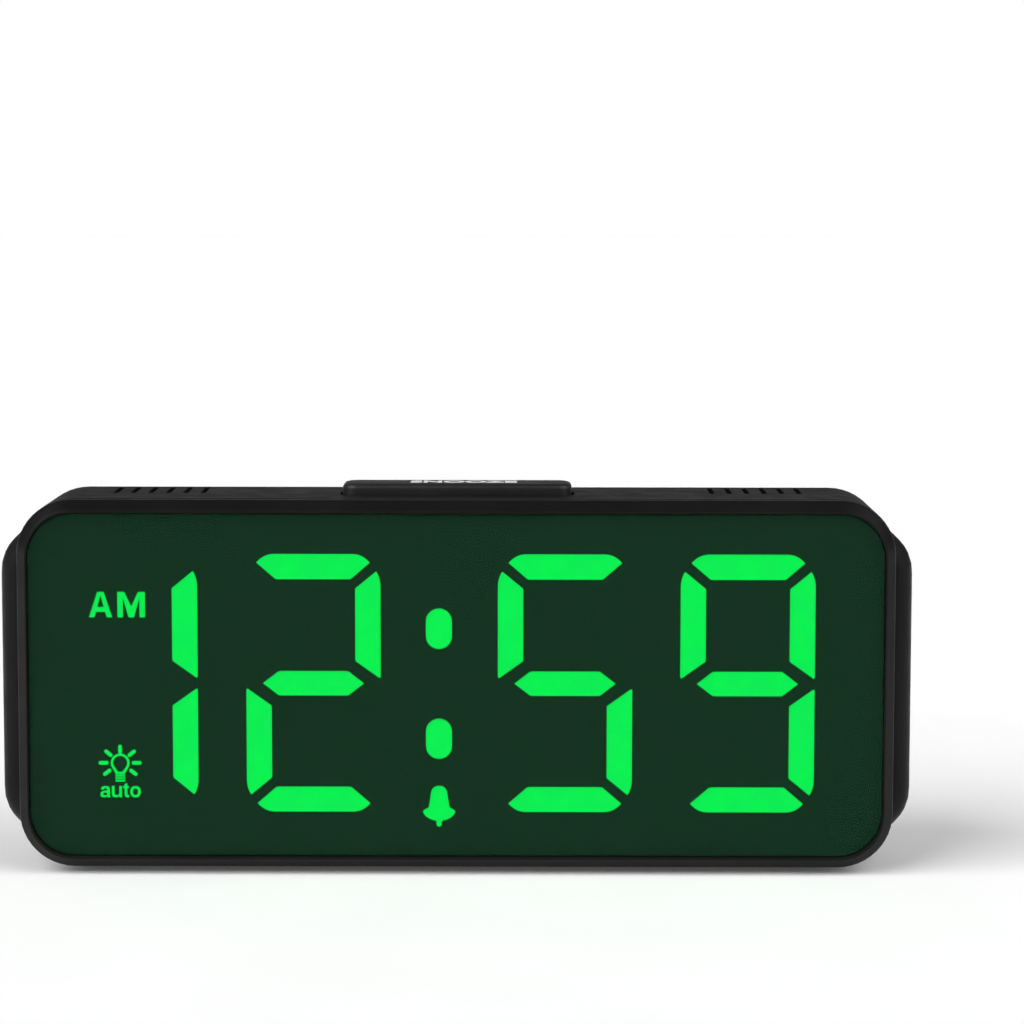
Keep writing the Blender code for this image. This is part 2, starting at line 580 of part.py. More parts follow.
def make_cover():
    shoulder, rim_end, fillet = 0.0074, BACK_FACE - 0.0008, 0.0006
    side_inset = (CASE_WIDTH - BACK_WIDTH) / 2
    height_inset = (CASE_HEIGHT - BACK_HEIGHT) / 2

    def tapered(share, extra=0.0):
        width = CASE_WIDTH - 2 * (share * side_inset + extra)
        height = CASE_HEIGHT - 2 * (share * height_inset + extra)
        return rounded(width, height, CASE_CORNER - min(extra, 0.004), (0.0, MID_Z))

    rim_share = (rim_end - shoulder) / (BACK_FACE - shoulder)
    cover = solid("rear_cover", [[
        across_y(tapered(0.0), COVER_FRONT),
        across_y(tapered(0.0), shoulder),
        across_y(tapered(rim_share), rim_end),
        across_y(tapered(1.0, fillet), BACK_FACE),
    ]], BLACK_PLASTIC)
    add(cover, slab(across_y, case_outline(WALL + GAP), TONGUE_FRONT, COVER_FRONT + 0.0010))
    rim_wall = 0.0035
    inner_share = (BACK_INNER - shoulder) / (BACK_FACE - shoulder)
    cut(cover, [
        across_y(tapered(0.0, rim_wall), TONGUE_FRONT - 0.001),
        across_y(tapered(0.0, rim_wall), shoulder),
        across_y(tapered(inner_share, WALL + 0.0004), BACK_INNER),
    ])

    bay_outer = box(2 * (BAY_HALF_WIDTH + BAY_WALL), 2 * (BAY_HALF_HEIGHT + BAY_WALL), (0.0, MID_Z))
    add(cover, slab(across_y, bay_outer, BAY_FRONT - 0.0012, BACK_INNER + 0.0008))
    add(cover, *[slab(across_y, circle(0.0036, spot), COVER_FRONT, BACK_INNER + 0.0008) for spot in SCREW_SPOTS])
    speaker_centre = (SPEAKER_X, SPEAKER_Z)
    ring = circle(SPEAKER_RADIUS + GAP + 0.0010, speaker_centre, 20)
    add(cover, slab(across_y, ring, 0.0090, BACK_INNER + 0.0008))

    seat = (BAY_HALF_WIDTH + DOOR_SEAT, BAY_HALF_HEIGHT + DOOR_SEAT)
    bay = box(2 * BAY_HALF_WIDTH, 2 * BAY_HALF_HEIGHT, (0.0, MID_Z))
    cut(cover, slab(across_y, bay, BAY_FRONT, BACK_FACE + 0.001))
    cut(cover, slab(across_y, circle(SPEAKER_RADIUS + GAP, speaker_centre, 20), 0.0080, BACK_INNER))
    cut(cover, slab(across_y, box(2 * seat[0], 2 * seat[1], (0.0, MID_Z)), BACK_INNER, BACK_FACE + 0.001))

    seat_depth = SCREW_HEAD - GAP
    bolt_hole = (
        (0.0016, COVER_FRONT - 0.001), (0.0016, seat_depth), (0.0028, seat_depth), (0.0028, BACK_FACE + 0.001),
    )
    holes = [turned(across_y, bolt_hole, spot) for spot in SCREW_SPOTS]
    for x in BUTTON_X:
        for z in BUTTON_Z:
            hole = circle(BUTTON_RADIUS + GAP, (x, z))
            holes.append(slab(across_y, hole, BACK_INNER - 0.001, BACK_FACE + 0.001))
    for z in SLIDER_Z.values():
        slot = box(0.0040 + SLIDER_TRAVEL + 2 * GAP, 0.0032 + 2 * GAP, (SLIDER_X, z))
        holes.append(slab(across_y, slot, BACK_INNER - 0.001, BACK_FACE + 0.001))
    for step in (-2, -1, 0, 1, 2):
        offset = step * 0.0040
        chord = 2 * math.sqrt(0.0105 ** 2 - offset ** 2)
        slot = box(0.0014, chord, (SPEAKER_X + offset, SPEAKER_Z))
        holes.append(slab(across_y, slot, BACK_INNER - 0.0005, BACK_FACE + 0.001))
    socket = rounded(0.0096, 0.0039, 0.0018, (SOCKET_X, SOCKET_Z), 4)
    holes.append(slab(across_y, socket, 0.0110, BACK_FACE + 0.001))
    notch = rounded(0.0120, 0.0060, 0.0028, (0.0, MID_Z + seat[1]), 4)
    holes.append(slab(across_y, notch, BACK_FACE - 0.0010, BACK_FACE + 0.001))
    for side in (-1, 1):
        tab = box(0.0068, 0.0022, (side * DOOR_TAB_X, MID_Z - BAY_HALF_HEIGHT - 0.0011))
        holes.append(slab(across_y, tab, 0.0113, BACK_INNER + 0.0001))
    cut(cover, *holes)


def make_door():
    half_width = BAY_HALF_WIDTH + DOOR_SEAT - GAP
    half_height = BAY_HALF_HEIGHT + DOOR_SEAT - GAP
    inner = BACK_FACE - DOOR_THICKNESS
    hinge = (0.0, BACK_FACE, MID_Z - half_height)
    panel = slab(across_y, box(2 * half_width, 2 * half_height, (0.0, MID_Z)), inner, BACK_FACE)
    door = solid("battery_door", [panel], BLACK_PLASTIC, hinge)
    tabs = []
    for side in (-1, 1):
        x = side * DOOR_TAB_X
        neck = box(0.0060, 0.0010, (x, MID_Z - half_height + 0.0010))
        hook = box(0.0060, 0.0026, (x, MID_Z - half_height + 0.0002))
        tabs.append(([across_y(neck, 0.0125), across_y(neck, inner + 0.0003)],
                     [across_y(hook, 0.0121), across_y(hook, BACK_INNER - GAP)]))
    add(door, *[neck for neck, _ in tabs])
    add(door, *[hook for _, hook in tabs])
    ridges = [box(0.0140, 0.0006, (0.0, MID_Z + half_height - 0.0030 - step * 0.0014)) for step in range(4)]
    add(door, *[slab(across_y, ridge, BACK_FACE - 0.0003, BACK_FACE + 0.0004) for ridge in ridges])


def make_cells():
    """Three cells in series. The middle one faces the other way."""
    for number, (row, nub_side) in enumerate(((-1, -1), (0, 1), (1, -1)), start=1):
        centre = (CELL_Y, MID_Z + row * CELL_PITCH)
        half = CELL_LENGTH / 2
        stations = (
            (0.0035, -half), (CELL_RADIUS - 0.0003, -half), (CELL_RADIUS, -half + 0.0004),
            (CELL_RADIUS, half - 0.0004), (CELL_RADIUS - 0.0003, half), (0.0019, half),
            (0.0019, half + CELL_NUB),
        )
        rings = turned(across_x, [(radius, nub_side * x) for radius, x in stations], centre)
        solid(f"battery_{number}", [rings], CELL_JACKET, (0.0, *centre))


def make_contacts():
    """Plates on the end walls of the bay: a dimple meets each cell's nub, a spring its flat end."""
    plate_depth = (BAY_HALF_WIDTH - GAP - 0.0005, BAY_HALF_WIDTH - GAP)
    plans = {
        "contact_positive": (-1, (1,), (1,)),
        "contact_link_left": (-1, (0, -1), (-1,)),
        "contact_link_right": (1, (1, 0), (0,)),
        "contact_negative": (1, (-1,), ()),
    }
    for name, (side, rows, dimpled) in plans.items():
        middle = sum(rows) / len(rows) * CELL_PITCH
        height = 0.0088 + (len(rows) - 1) * CELL_PITCH
        plate = box(0.0088, height, (CELL_Y, MID_Z + middle))
        place = (side * plate_depth[1], CELL_Y, MID_Z + middle)
        sheet = slab(across_x, plate, side * plate_depth[0], side * plate_depth[1])
        contact = solid(name, [sheet], SPRING_STEEL, place)
        for row in rows:
            centre = (CELL_Y, MID_Z + row * CELL_PITCH)
            root = side * (plate_depth[0] + 0.0002)
            if row in dimpled:
                tip = side * (CELL_LENGTH / 2 + CELL_NUB + GAP)
                add(contact, turned(across_x, ((0.0028, root), (0.0016, tip)), centre, 12))
            else:
                reach = plate_depth[0] + 0.0002 - CELL_LENGTH / 2 - 2 * GAP
                start = (root, *centre)
                add(contact, coil(start, (-side, 0, 0), (0.0030, 0.0018), reach, 3, GAP))


def make_socket():
    """A flat-oval power socket on its own small board."""
    centre = (SOCKET_X, SOCKET_Z)
    shell = slab(across_y, rounded(0.0090, 0.0033, 0.0015, centre, 4), 0.0074, BACK_FACE - 0.0002)
    socket = solid("power_socket", [shell], STEEL, (SOCKET_X, BACK_FACE, SOCKET_Z))
    cut(socket, slab(across_y, rounded(0.0082, 0.0025, 0.0012, centre, 4), 0.0090, BACK_FACE + 0.001))
    add(socket, slab(across_y, box(0.0062, 0.0007, centre), 0.0085, BACK_FACE - 0.0014))
    height = SOCKET_Z + 0.0033 / 2 + GAP
    board = box(0.0140, 0.0070, (SOCKET_X, 0.0085))
    solid("power_board", [slab(across_z, board, height, height + 0.0012)], BOARD, (SOCKET_X, 0.0085, height))


def make_cover_screws():
    stations = (
        (0.0013, -0.0020), (0.0013, SCREW_HEAD), (0.0025, SCREW_HEAD), (0.0025, SCREW_HEAD + 0.0010),
        (0.0019, SCREW_HEAD + 0.0016),
    )
    for number, spot in enumerate(SCREW_SPOTS, start=1):
        place = (spot[0], SCREW_HEAD, spot[1])
        screw = solid(f"cover_screw_{number}", [turned(across_y, stations, spot)], STEEL, place)
        for arm in (box(0.0024, 0.0005, spot), box(0.0005, 0.0024, spot)):
            cut(screw, slab(across_y, arm, SCREW_HEAD + 0.0008, SCREW_HEAD + 0.003))


for leftover in list(bpy.data.objects):
    bpy.data.objects.remove(leftover, do_unlink=True)

HELPER = material("helper", (0.8, 0.2, 0.2), 0.5)
BLACK_PLASTIC = material("black_plastic", (0.022, 0.022, 0.023), 0.42)
LENS_GLASS = material("lens_glass", (0.012, 0.030, 0.015), 0.08)
FILTER_GREEN = material("filter_green", (0.008, 0.030, 0.014), 0.30)
MASK_BLACK = material("mask_black", (0.010, 0.010, 0.010), 0.60)
GUIDE_CLEAR = material("guide_clear", (0.60, 0.85, 0.62), 0.35)
BOARD = material("board_green", (0.020, 0.110, 0.045), 0.40)
SENSOR_AMBER = material("sensor_amber", (0.55, 0.30, 0.12), 0.25)
RUBBER = material("rubber", (0.030, 0.030, 0.030), 0.80)
DARK_GREY = material("dark_grey", (0.060, 0.060, 0.065), 0.50)
SWITCH_METAL = material("switch_metal", (0.45, 0.45, 0.46), 0.35, 0.9)
STEEL = material("steel", (0.56, 0.56, 0.57), 0.30, 1.0)
SPRING_STEEL = material("spring_steel", (0.60, 0.60, 0.58), 0.28, 1.0)
RIBBON = material("ribbon", (0.50, 0.50, 0.48), 0.55)
PAPER = material("paper", (0.050, 0.048, 0.045), 0.85)
CELL_JACKET = material("cell_jacket", (0.32, 0.34, 0.36), 0.35, 0.6)

make_bezel()
make_display()
make_case()
make_feet()
make_snooze()
make_main_board()
make_ribbon()
for button, spot in zip(BUTTON_NAMES, [(x, z) for z in BUTTON_Z for x in BUTTON_X]):
    make_push_button(button, *spot)
for slider, level in SLIDER_Z.items():
    make_slider(slider, level)
make_speaker()
make_cover()
make_door()
make_cells()
make_contacts()
make_socket()
make_cover_screws()
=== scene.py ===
"""The looks of a compact digital alarm clock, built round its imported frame.

Metres, in the frame's axes: +X is the viewer's right, the display faces -Y and +Z is up. Places and sizes
come from the frame's nodes, or repeat the dimensions of the design where a box can't give them.
"""

import math

import bmesh
import bpy
from mathutils import Matrix, Vector


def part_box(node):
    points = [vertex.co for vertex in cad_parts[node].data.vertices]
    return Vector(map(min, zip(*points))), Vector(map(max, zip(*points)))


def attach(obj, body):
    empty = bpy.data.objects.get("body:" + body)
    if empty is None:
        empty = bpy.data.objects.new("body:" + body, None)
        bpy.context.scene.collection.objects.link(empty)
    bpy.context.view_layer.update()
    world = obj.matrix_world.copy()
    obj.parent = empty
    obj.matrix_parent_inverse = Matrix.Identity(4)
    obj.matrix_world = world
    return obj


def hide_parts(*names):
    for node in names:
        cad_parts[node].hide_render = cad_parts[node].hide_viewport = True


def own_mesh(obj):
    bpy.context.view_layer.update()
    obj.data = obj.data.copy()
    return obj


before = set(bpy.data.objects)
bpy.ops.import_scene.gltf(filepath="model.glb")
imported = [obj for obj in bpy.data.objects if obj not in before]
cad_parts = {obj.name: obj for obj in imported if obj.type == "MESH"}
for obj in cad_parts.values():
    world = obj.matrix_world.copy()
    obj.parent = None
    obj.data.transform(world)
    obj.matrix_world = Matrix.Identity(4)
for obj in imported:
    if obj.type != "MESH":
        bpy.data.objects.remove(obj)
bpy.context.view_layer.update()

# The case, from the frame.
GAP = 0.0003
WALL = 0.0018
BEZEL_LOW, BEZEL_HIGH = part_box("front_bezel")
CASE_LOW, CASE_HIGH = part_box("case_body")
COVER_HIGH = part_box("rear_cover")[1]
LENS_LOW, LENS_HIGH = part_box("display_lens")
CASE_WIDTH = BEZEL_HIGH.x - BEZEL_LOW.x
CASE_HEIGHT = BEZEL_HIGH.z - BEZEL_LOW.z
CASE_CORNER = 0.0083
MID_Z = (BEZEL_HIGH.z + BEZEL_LOW.z) / 2
TOP_Z = BEZEL_HIGH.z
BEZEL_FRONT, BEZEL_SKIRT_END = BEZEL_LOW.y, BEZEL_HIGH.y
BEZEL_EDGE = -0.0143
CASE_FRONT, CASE_BACK = CASE_LOW.y, CASE_HIGH.y
CHEEK_WIDTH = CASE_HIGH.x - CASE_LOW.x
CHEEK_HEIGHT, CHEEK_CORNER = 0.0470, 0.0068
CHEEK_FRONT, CHEEK_BACK, CHEEK_FILLET = -0.0122, 0.0060, 0.0030
BLEND = 0.0012

# The display window.
FIELD_WIDTH = LENS_HIGH.x - LENS_LOW.x + 2 * GAP
FIELD_HEIGHT = LENS_HIGH.z - LENS_LOW.z + 2 * GAP
FIELD_CORNER = 0.0068
LENS_FRONT, LENS_BACK = LENS_LOW.y, LENS_HIGH.y
CLEAR_BACK = LENS_FRONT + 0.0005
LIT_FRONT, LIT_BACK = LENS_FRONT + 0.00055, LENS_FRONT + 0.00062
TINT_FRONT = LENS_FRONT + 0.00068
LENS_GAP = 0.00008

# The digits and marks, about the middle of the window.
DIGIT_WIDTH, DIGIT_HEIGHT, STROKE = 0.0202, 0.0391, 0.0038
DIGIT_X = (-0.0489, -0.0214, 0.0164, 0.0438)
DIGIT_Z = MID_Z + 0.0003
TIME_SHOWN = ("1", "2", "5", "9")
COLON_X, COLON_RISE, COLON_SIZE = -0.00255, (0.0086, -0.0081), (0.0039, 0.0061)

# Snooze bar.
SNOOZE_WIDTH, SNOOZE_DEPTH, SNOOZE_CORNER = 0.0350, 0.0078, 0.0022
SNOOZE_Y = -0.0028
SNOOZE_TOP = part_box("snooze_button")[1].z
SNOOZE_BOARD_TOP = 0.0482
SNOOZE_POST_X = 0.0223
SPRING_X = 0.0130

# Slots, feet, and the back.
SLOT_COUNT, SLOT_FIRST_X, SLOT_PITCH, SLOT_WIDTH = 6, 0.0390, 0.00267, 0.0008
SLOT_FRONT, SLOT_END = -0.0034, 0.0054
FEET = [((low.x + high.x) / 2, (low.y + high.y) / 2) for low, high in
        (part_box(f"foot_{number}") for number in (1, 2, 3, 4))]
FOOT_RADIUS = 0.0032
BACK_WIDTH, BACK_HEIGHT = 0.1200, 0.0434
COVER_FRONT = CASE_BACK + GAP
TONGUE_FRONT = 0.0048
BACK_INNER, BACK_FACE, BUTTON_TIP = 0.0132, COVER_HIGH.y, 0.0160
BAY_HALF_WIDTH, BAY_HALF_HEIGHT, BAY_FRONT, BAY_WALL = 0.0262, 0.0172, 0.0020, 0.0020
DOOR_SEAT, DOOR_THICKNESS, DOOR_TAB_X = 0.0010, 0.0015, 0.0150
CELL_RADIUS, CELL_LENGTH, CELL_NUB, CELL_PITCH, CELL_Y = 0.00525, 0.0435, 0.0008, 0.0110, 0.0076
BUTTON_RADIUS, BUTTON_X = 0.0025, (0.0365, 0.0475)
BUTTON_Z = (MID_Z + 0.0060, MID_Z - 0.0060)
BUTTON_NAMES = ("time", "alarm", "up", "down")
SLIDER_X, SLIDER_TRAVEL = 0.0420, 0.0030
SLIDER_Z = {"alarm": MID_Z + 0.0160, "volume": MID_Z - 0.0160}
SCREW_X, SCREW_RISE, SCREW_HEAD = 0.0550, 0.0170, 0.0118
SCREW_SPOTS = [(side * SCREW_X, MID_Z + rise) for side in (-1, 1) for rise in (-SCREW_RISE, SCREW_RISE)]
POST_FRONT = -0.0040
SPEAKER_X, SPEAKER_Z, SPEAKER_RADIUS = -0.0430, MID_Z + 0.0020, 0.0140
SOCKET_X, SOCKET_Z = -0.0380, MID_Z - 0.0184

# How far a cutting or a joining shape runs past what it meets.
PAST, SUNK = 0.001, 0.0008

QUADRANTS = ((1, 1), (-1, 1), (-1, -1), (1, -1))
CENTRE = (0.0, MID_Z)


# Outlines: lists of points round a flat shape.

def rounded(width, height, radius, centre, steps=12):
    """A rectangle with corner arcs."""
    points = []
    for turn, (side, rise) in enumerate(QUADRANTS):
        for step in range(steps + 1):
            angle = math.radians(90 * (turn + step / steps))
            points.append((
                centre[0] + side * (width / 2 - radius) + radius * math.cos(angle),
                centre[1] + rise * (height / 2 - radius) + radius * math.sin(angle),
            ))
    return points


def box(width, height, centre):
    return [(centre[0] + side * width / 2, centre[1] + rise * height / 2) for side, rise in QUADRANTS]


def circle(radius, centre=(0.0, 0.0), steps=48):
    turns = [math.tau * step / steps for step in range(steps)]
    return [(centre[0] + radius * math.cos(turn), centre[1] + radius * math.sin(turn)) for turn in turns]


def bent(start, control, end, steps=6):
    """Points of a curve from start to end that leans towards control."""
    points = []
    for step in range(steps + 1):
        share = step / steps
        points.append(tuple(
            (1 - share) ** 2 * a + 2 * share * (1 - share) * b + share ** 2 * c
            for a, b, c in zip(start, control, end)
        ))
    return points


def trace(*parts):
    """An outline through points, and along curves given as (start, control, end, steps)."""
    outline = []
    for part in parts:
        outline += [part] if len(part) == 2 else bent(*part)
    return outline


def mirrored(half):
    """An outline closed by its own mirror image across x = 0."""
    return half + [(-x, z) for x, z in reversed(half)]


def moved(outline, x, z):
    return [(a + x, b + z) for a, b in outline]


def case_outline(inset, width=CASE_WIDTH, height=CASE_HEIGHT, corner=CASE_CORNER):
    radius = max(corner - inset, 0.001)
    return rounded(width - 2 * inset, height - 2 * inset, radius, CENTRE)


# Rings: an outline stood up across one axis.

def across_x(outline, x):
    return [(x, a, b) for a, b in outline]


def across_y(outline, y):
    return [(a, y, b) for a, b in outline]


def across_z(outline, z):
    return [(a, b, z) for a, b in outline]


def slab(across, outline, low, high):
    return [across(outline, low), across(outline, high)]


def deep(outline, front, back):
    """Two rings of one outline, at the front and at the back."""
    return slab(across_y, outline, front, back)


def layered(across, size, corner, centre, stations, steps=12, follow=1):
    """Rings of a rounded rectangle, from (inset, position) stations. With follow=0 the corners stay."""
    rings = []
    for inset, position in stations:
        width, height = size[0] - 2 * inset, size[1] - 2 * inset
        rings.append(across(rounded(width, height, corner - follow * inset, centre, steps), position))
    return rings


def turned(across, stations, centre, steps=48):
    """Rings of a turned shape, from (radius, position) stations."""
    return [across(circle(radius, centre, steps), position) for radius, position in stations]


def eased(stations, radius=0.0002, steps=3):
    """The same stations with every inner corner rounded over."""
    smooth = [stations[0]]
    for before, corner, after in zip(stations, stations[1:], stations[2:]):
        corner = Vector(corner)
        reaches = []
        for other in (Vector(before), Vector(after)):
            reach = min(radius, (other - corner).length * 0.45)
            reaches.append(corner + (other - corner).normalized() * reach)
        smooth += bent(reaches[0], corner, reaches[1], steps)
    return smooth + [stations[-1]]


# Meshes.

def new_object(name, data):
    made = bpy.data.objects.new(name, data)
    bpy.context.collection.objects.link(made)
    return made


def skin(shape, rings, closed):
    """A skin over rings of equal length, with caps, or joined end to start."""
    loops = [[shape.verts.new(point) for point in ring] for ring in rings]
    pairs = list(zip(loops, loops[1:]))
    if closed:
        pairs.append((loops[-1], loops[0]))
    for first, second in pairs:
        for near in range(len(first)):
            far = (near + 1) % len(first)
            shape.faces.new((first[near], first[far], second[far], second[near]))
    if not closed:
        shape.faces.new(reversed(loops[0]))
        shape.faces.new(loops[-1])


def solid(name, *bodies, closed=False):
    """An object whose mesh holds these bodies, each a list of rings."""
    shape = bmesh.new()
    for rings in bodies:
        skin(shape, rings, closed)
    bmesh.ops.recalc_face_normals(shape, faces=shape.faces)
    mesh = bpy.data.meshes.new(name)
    shape.to_mesh(mesh)
    shape.free()
    return new_object(name, mesh)


def settle(made):
    """Turns an object's modifiers, or its curve, into mesh."""
    graph = bpy.context.evaluated_depsgraph_get()
    mesh = bpy.data.meshes.new_from_object(made.evaluated_get(graph), depsgraph=graph)
    if made.type == "MESH":
        made.modifiers.clear()
        made.data = mesh
        return made
    name = made.name
    bpy.data.objects.remove(made, do_unlink=True)
    return new_object(name, mesh)


def combine(target, operation, bodies):
    helper = solid("helper", *bodies)
    modifier = target.modifiers.new("Combine", "BOOLEAN")
    modifier.operation = operation
    modifier.solver = "EXACT"
    modifier.object = helper
    settle(target)
    bpy.data.objects.remove(helper, do_unlink=True)


def cut(target, *bodies):
    combine(target, "DIFFERENCE", bodies)


def add(target, *bodies):
    """Joins bodies one after another, because they may overlap each other."""
    for body in bodies:
        combine(target, "UNION", [body])


def smooth(target, angle=32):
    target.data.shade_smooth()
    target.data.set_sharp_from_angle(angle=math.radians(angle))


def dress(made, finish, body="housing", stands_for=(), flats=True):
    """Finishes a piece: shading, material, the body that it rides on and the nodes it stands for."""
    smooth(made)
    if flats:
        normals = made.modifiers.new("Normals", "WEIGHTED_NORMAL")
        normals.keep_sharp = True
    made.data.materials.clear()
    made.data.materials.append(FINISHES[finish].material)
    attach(made, body)
    if stands_for:
        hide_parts(*stands_for)
    return made


def tube(name, path, radius, steps=10):
    """A round wire along a path of points."""
    rings = []
    side = None
    for index, point in enumerate(path):
        along = (path[min(index + 1, len(path) - 1)] - path[max(index - 1, 0)]).normalized()
        if side is None:
            side = along.orthogonal().normalized()
        side = (side - along * side.dot(along)).normalized()
        up = along.cross(side)
        turns = [math.tau * step / steps for step in range(steps)]
        rings.append([point + radius * (side * math.cos(turn) + up * math.sin(turn)) for turn in turns])
    return solid(name, rings)


def coil_path(start, axis, radii, length, turns, flat_ends=False):
    """Points along a coil spring, which may narrow, and may close up flat at both ends."""
    axis = Vector(axis)
    side = axis.orthogonal().normalized()
    up = axis.cross(side)
    steps_a_turn, flatness = 28, 0.85
    count = turns * steps_a_turn
    path = []
    for index in range(count + 1):
        share = index / count
        rise = share
        if flat_ends:
            rise = share - math.sin(math.tau * share) / math.tau * flatness
        angle = math.tau * turns * share
        radius = radii[0] + (radii[1] - radii[0]) * share
        outwards = side * math.cos(angle) + up * math.sin(angle)
        path.append(Vector(start) + axis * length * rise + radius * outwards)
    return path


# Materials.

class Finish:
    """A material under construction: constants sit on the shader, and textures lead into it."""

    def __init__(self, name, colour, roughness, metallic=0.0, **sockets):
        self.material = bpy.data.materials.new(name)
        self.material.use_nodes = True
        self.nodes = self.material.node_tree.nodes
        self.links = self.material.node_tree.links
        self.shader = self.nodes["Principled BSDF"]
        sockets |= {"Base Color": (*colour, 1.0), "Roughness": roughness, "Metallic": metallic}
        for socket, value in sockets.items():
            self.shader.inputs[socket.replace("_", " ")].default_value = value
        self.colour = colour
        self.material.diffuse_color = (*colour, 1.0)
        self.place = self.nodes.new("ShaderNodeTexCoord").outputs["Object"]

    def led(self, kind, source, into, **sockets):
        """A node with a source led into it and its other inputs set."""
        node = self.nodes.new(f"ShaderNode{kind}")
        for socket, value in sockets.items():
            node.inputs[socket.replace("_", " ")].default_value = value
        self.links.new(source, node.inputs[into])
        return node

    def noise(self, scale, detail, stretch=(1, 1, 1)):
        mapping = self.led("Mapping", self.place, "Vector", Scale=stretch)
        texture = self.led("TexNoise", mapping.outputs["Vector"], "Vector", Scale=scale, Detail=detail)
        return texture.outputs["Fac"]

    def cells(self, scale):
        """The distance from the edges between the cells of a cell pattern."""
        texture = self.led("TexVoronoi", self.place, "Vector", Scale=scale)
        texture.feature = "DISTANCE_TO_EDGE"
        return texture.outputs["Distance"]

    def bands(self, scale, direction):
        texture = self.led("TexWave", self.place, "Vector", Scale=scale, Distortion=0.0)
        texture.bands_direction = direction
        return texture.outputs["Fac"]

    def ramp(self, source, low, high, first, last):
        """Maps source from low..high to first..last."""
        return self.led("MapRange", source, "Value", From_Min=low, From_Max=high,
                        To_Min=first, To_Max=last).outputs["Result"]

    def tint(self, source, other, low=0.35, high=0.65, socket="Base Color"):
        """Blends the colour towards another where source is high. The sockets 6, 7 and 2 carry colours."""
        blend = self.led("Mix", self.ramp(source, low, high, 0.0, 1.0), 0)
        blend.data_type = "RGBA"
        blend.inputs[6].default_value = (*self.colour, 1.0)
        blend.inputs[7].default_value = (*other, 1.0)
        self.links.new(blend.outputs[2], self.shader.inputs[socket])
        return self

    def gloss(self, source, first, last, low=0.3, high=0.7):
        self.links.new(self.ramp(source, low, high, first, last), self.shader.inputs["Roughness"])
        return self

    def relief(self, source, strength, distance):
        bump = self.led("Bump", source, "Height", Strength=strength, Distance=distance)
        self.links.new(bump.outputs["Normal"], self.shader.inputs["Normal"])
        return self


def moulded(name, colour, other, roughness, grain=0.00003, specular=0.35):
    """Moulded plastic: a fine spark-eroded grain, slightly uneven in gloss."""
    made = Finish(name, colour, roughness, Specular_IOR_Level=specular)
    made.tint(made.noise(70, 3), other)
    made.gloss(made.noise(240, 3), roughness - 0.06, roughness + 0.07)
    return made.relief(made.noise(4200, 2), 0.55, grain)


def metal(name, colour, other, roughness, stretch=(1, 1, 1), scale=900):
    """Drawn or stamped metal, with fine lines along the way that it was worked."""
    made = Finish(name, colour, roughness, 1.0)
    made.tint(made.noise(160, 3), other)
    lines = made.noise(scale, 3, stretch)
    made.gloss(lines, roughness - 0.08, roughness + 0.12)
    return made.relief(lines, 0.25, 0.00002)


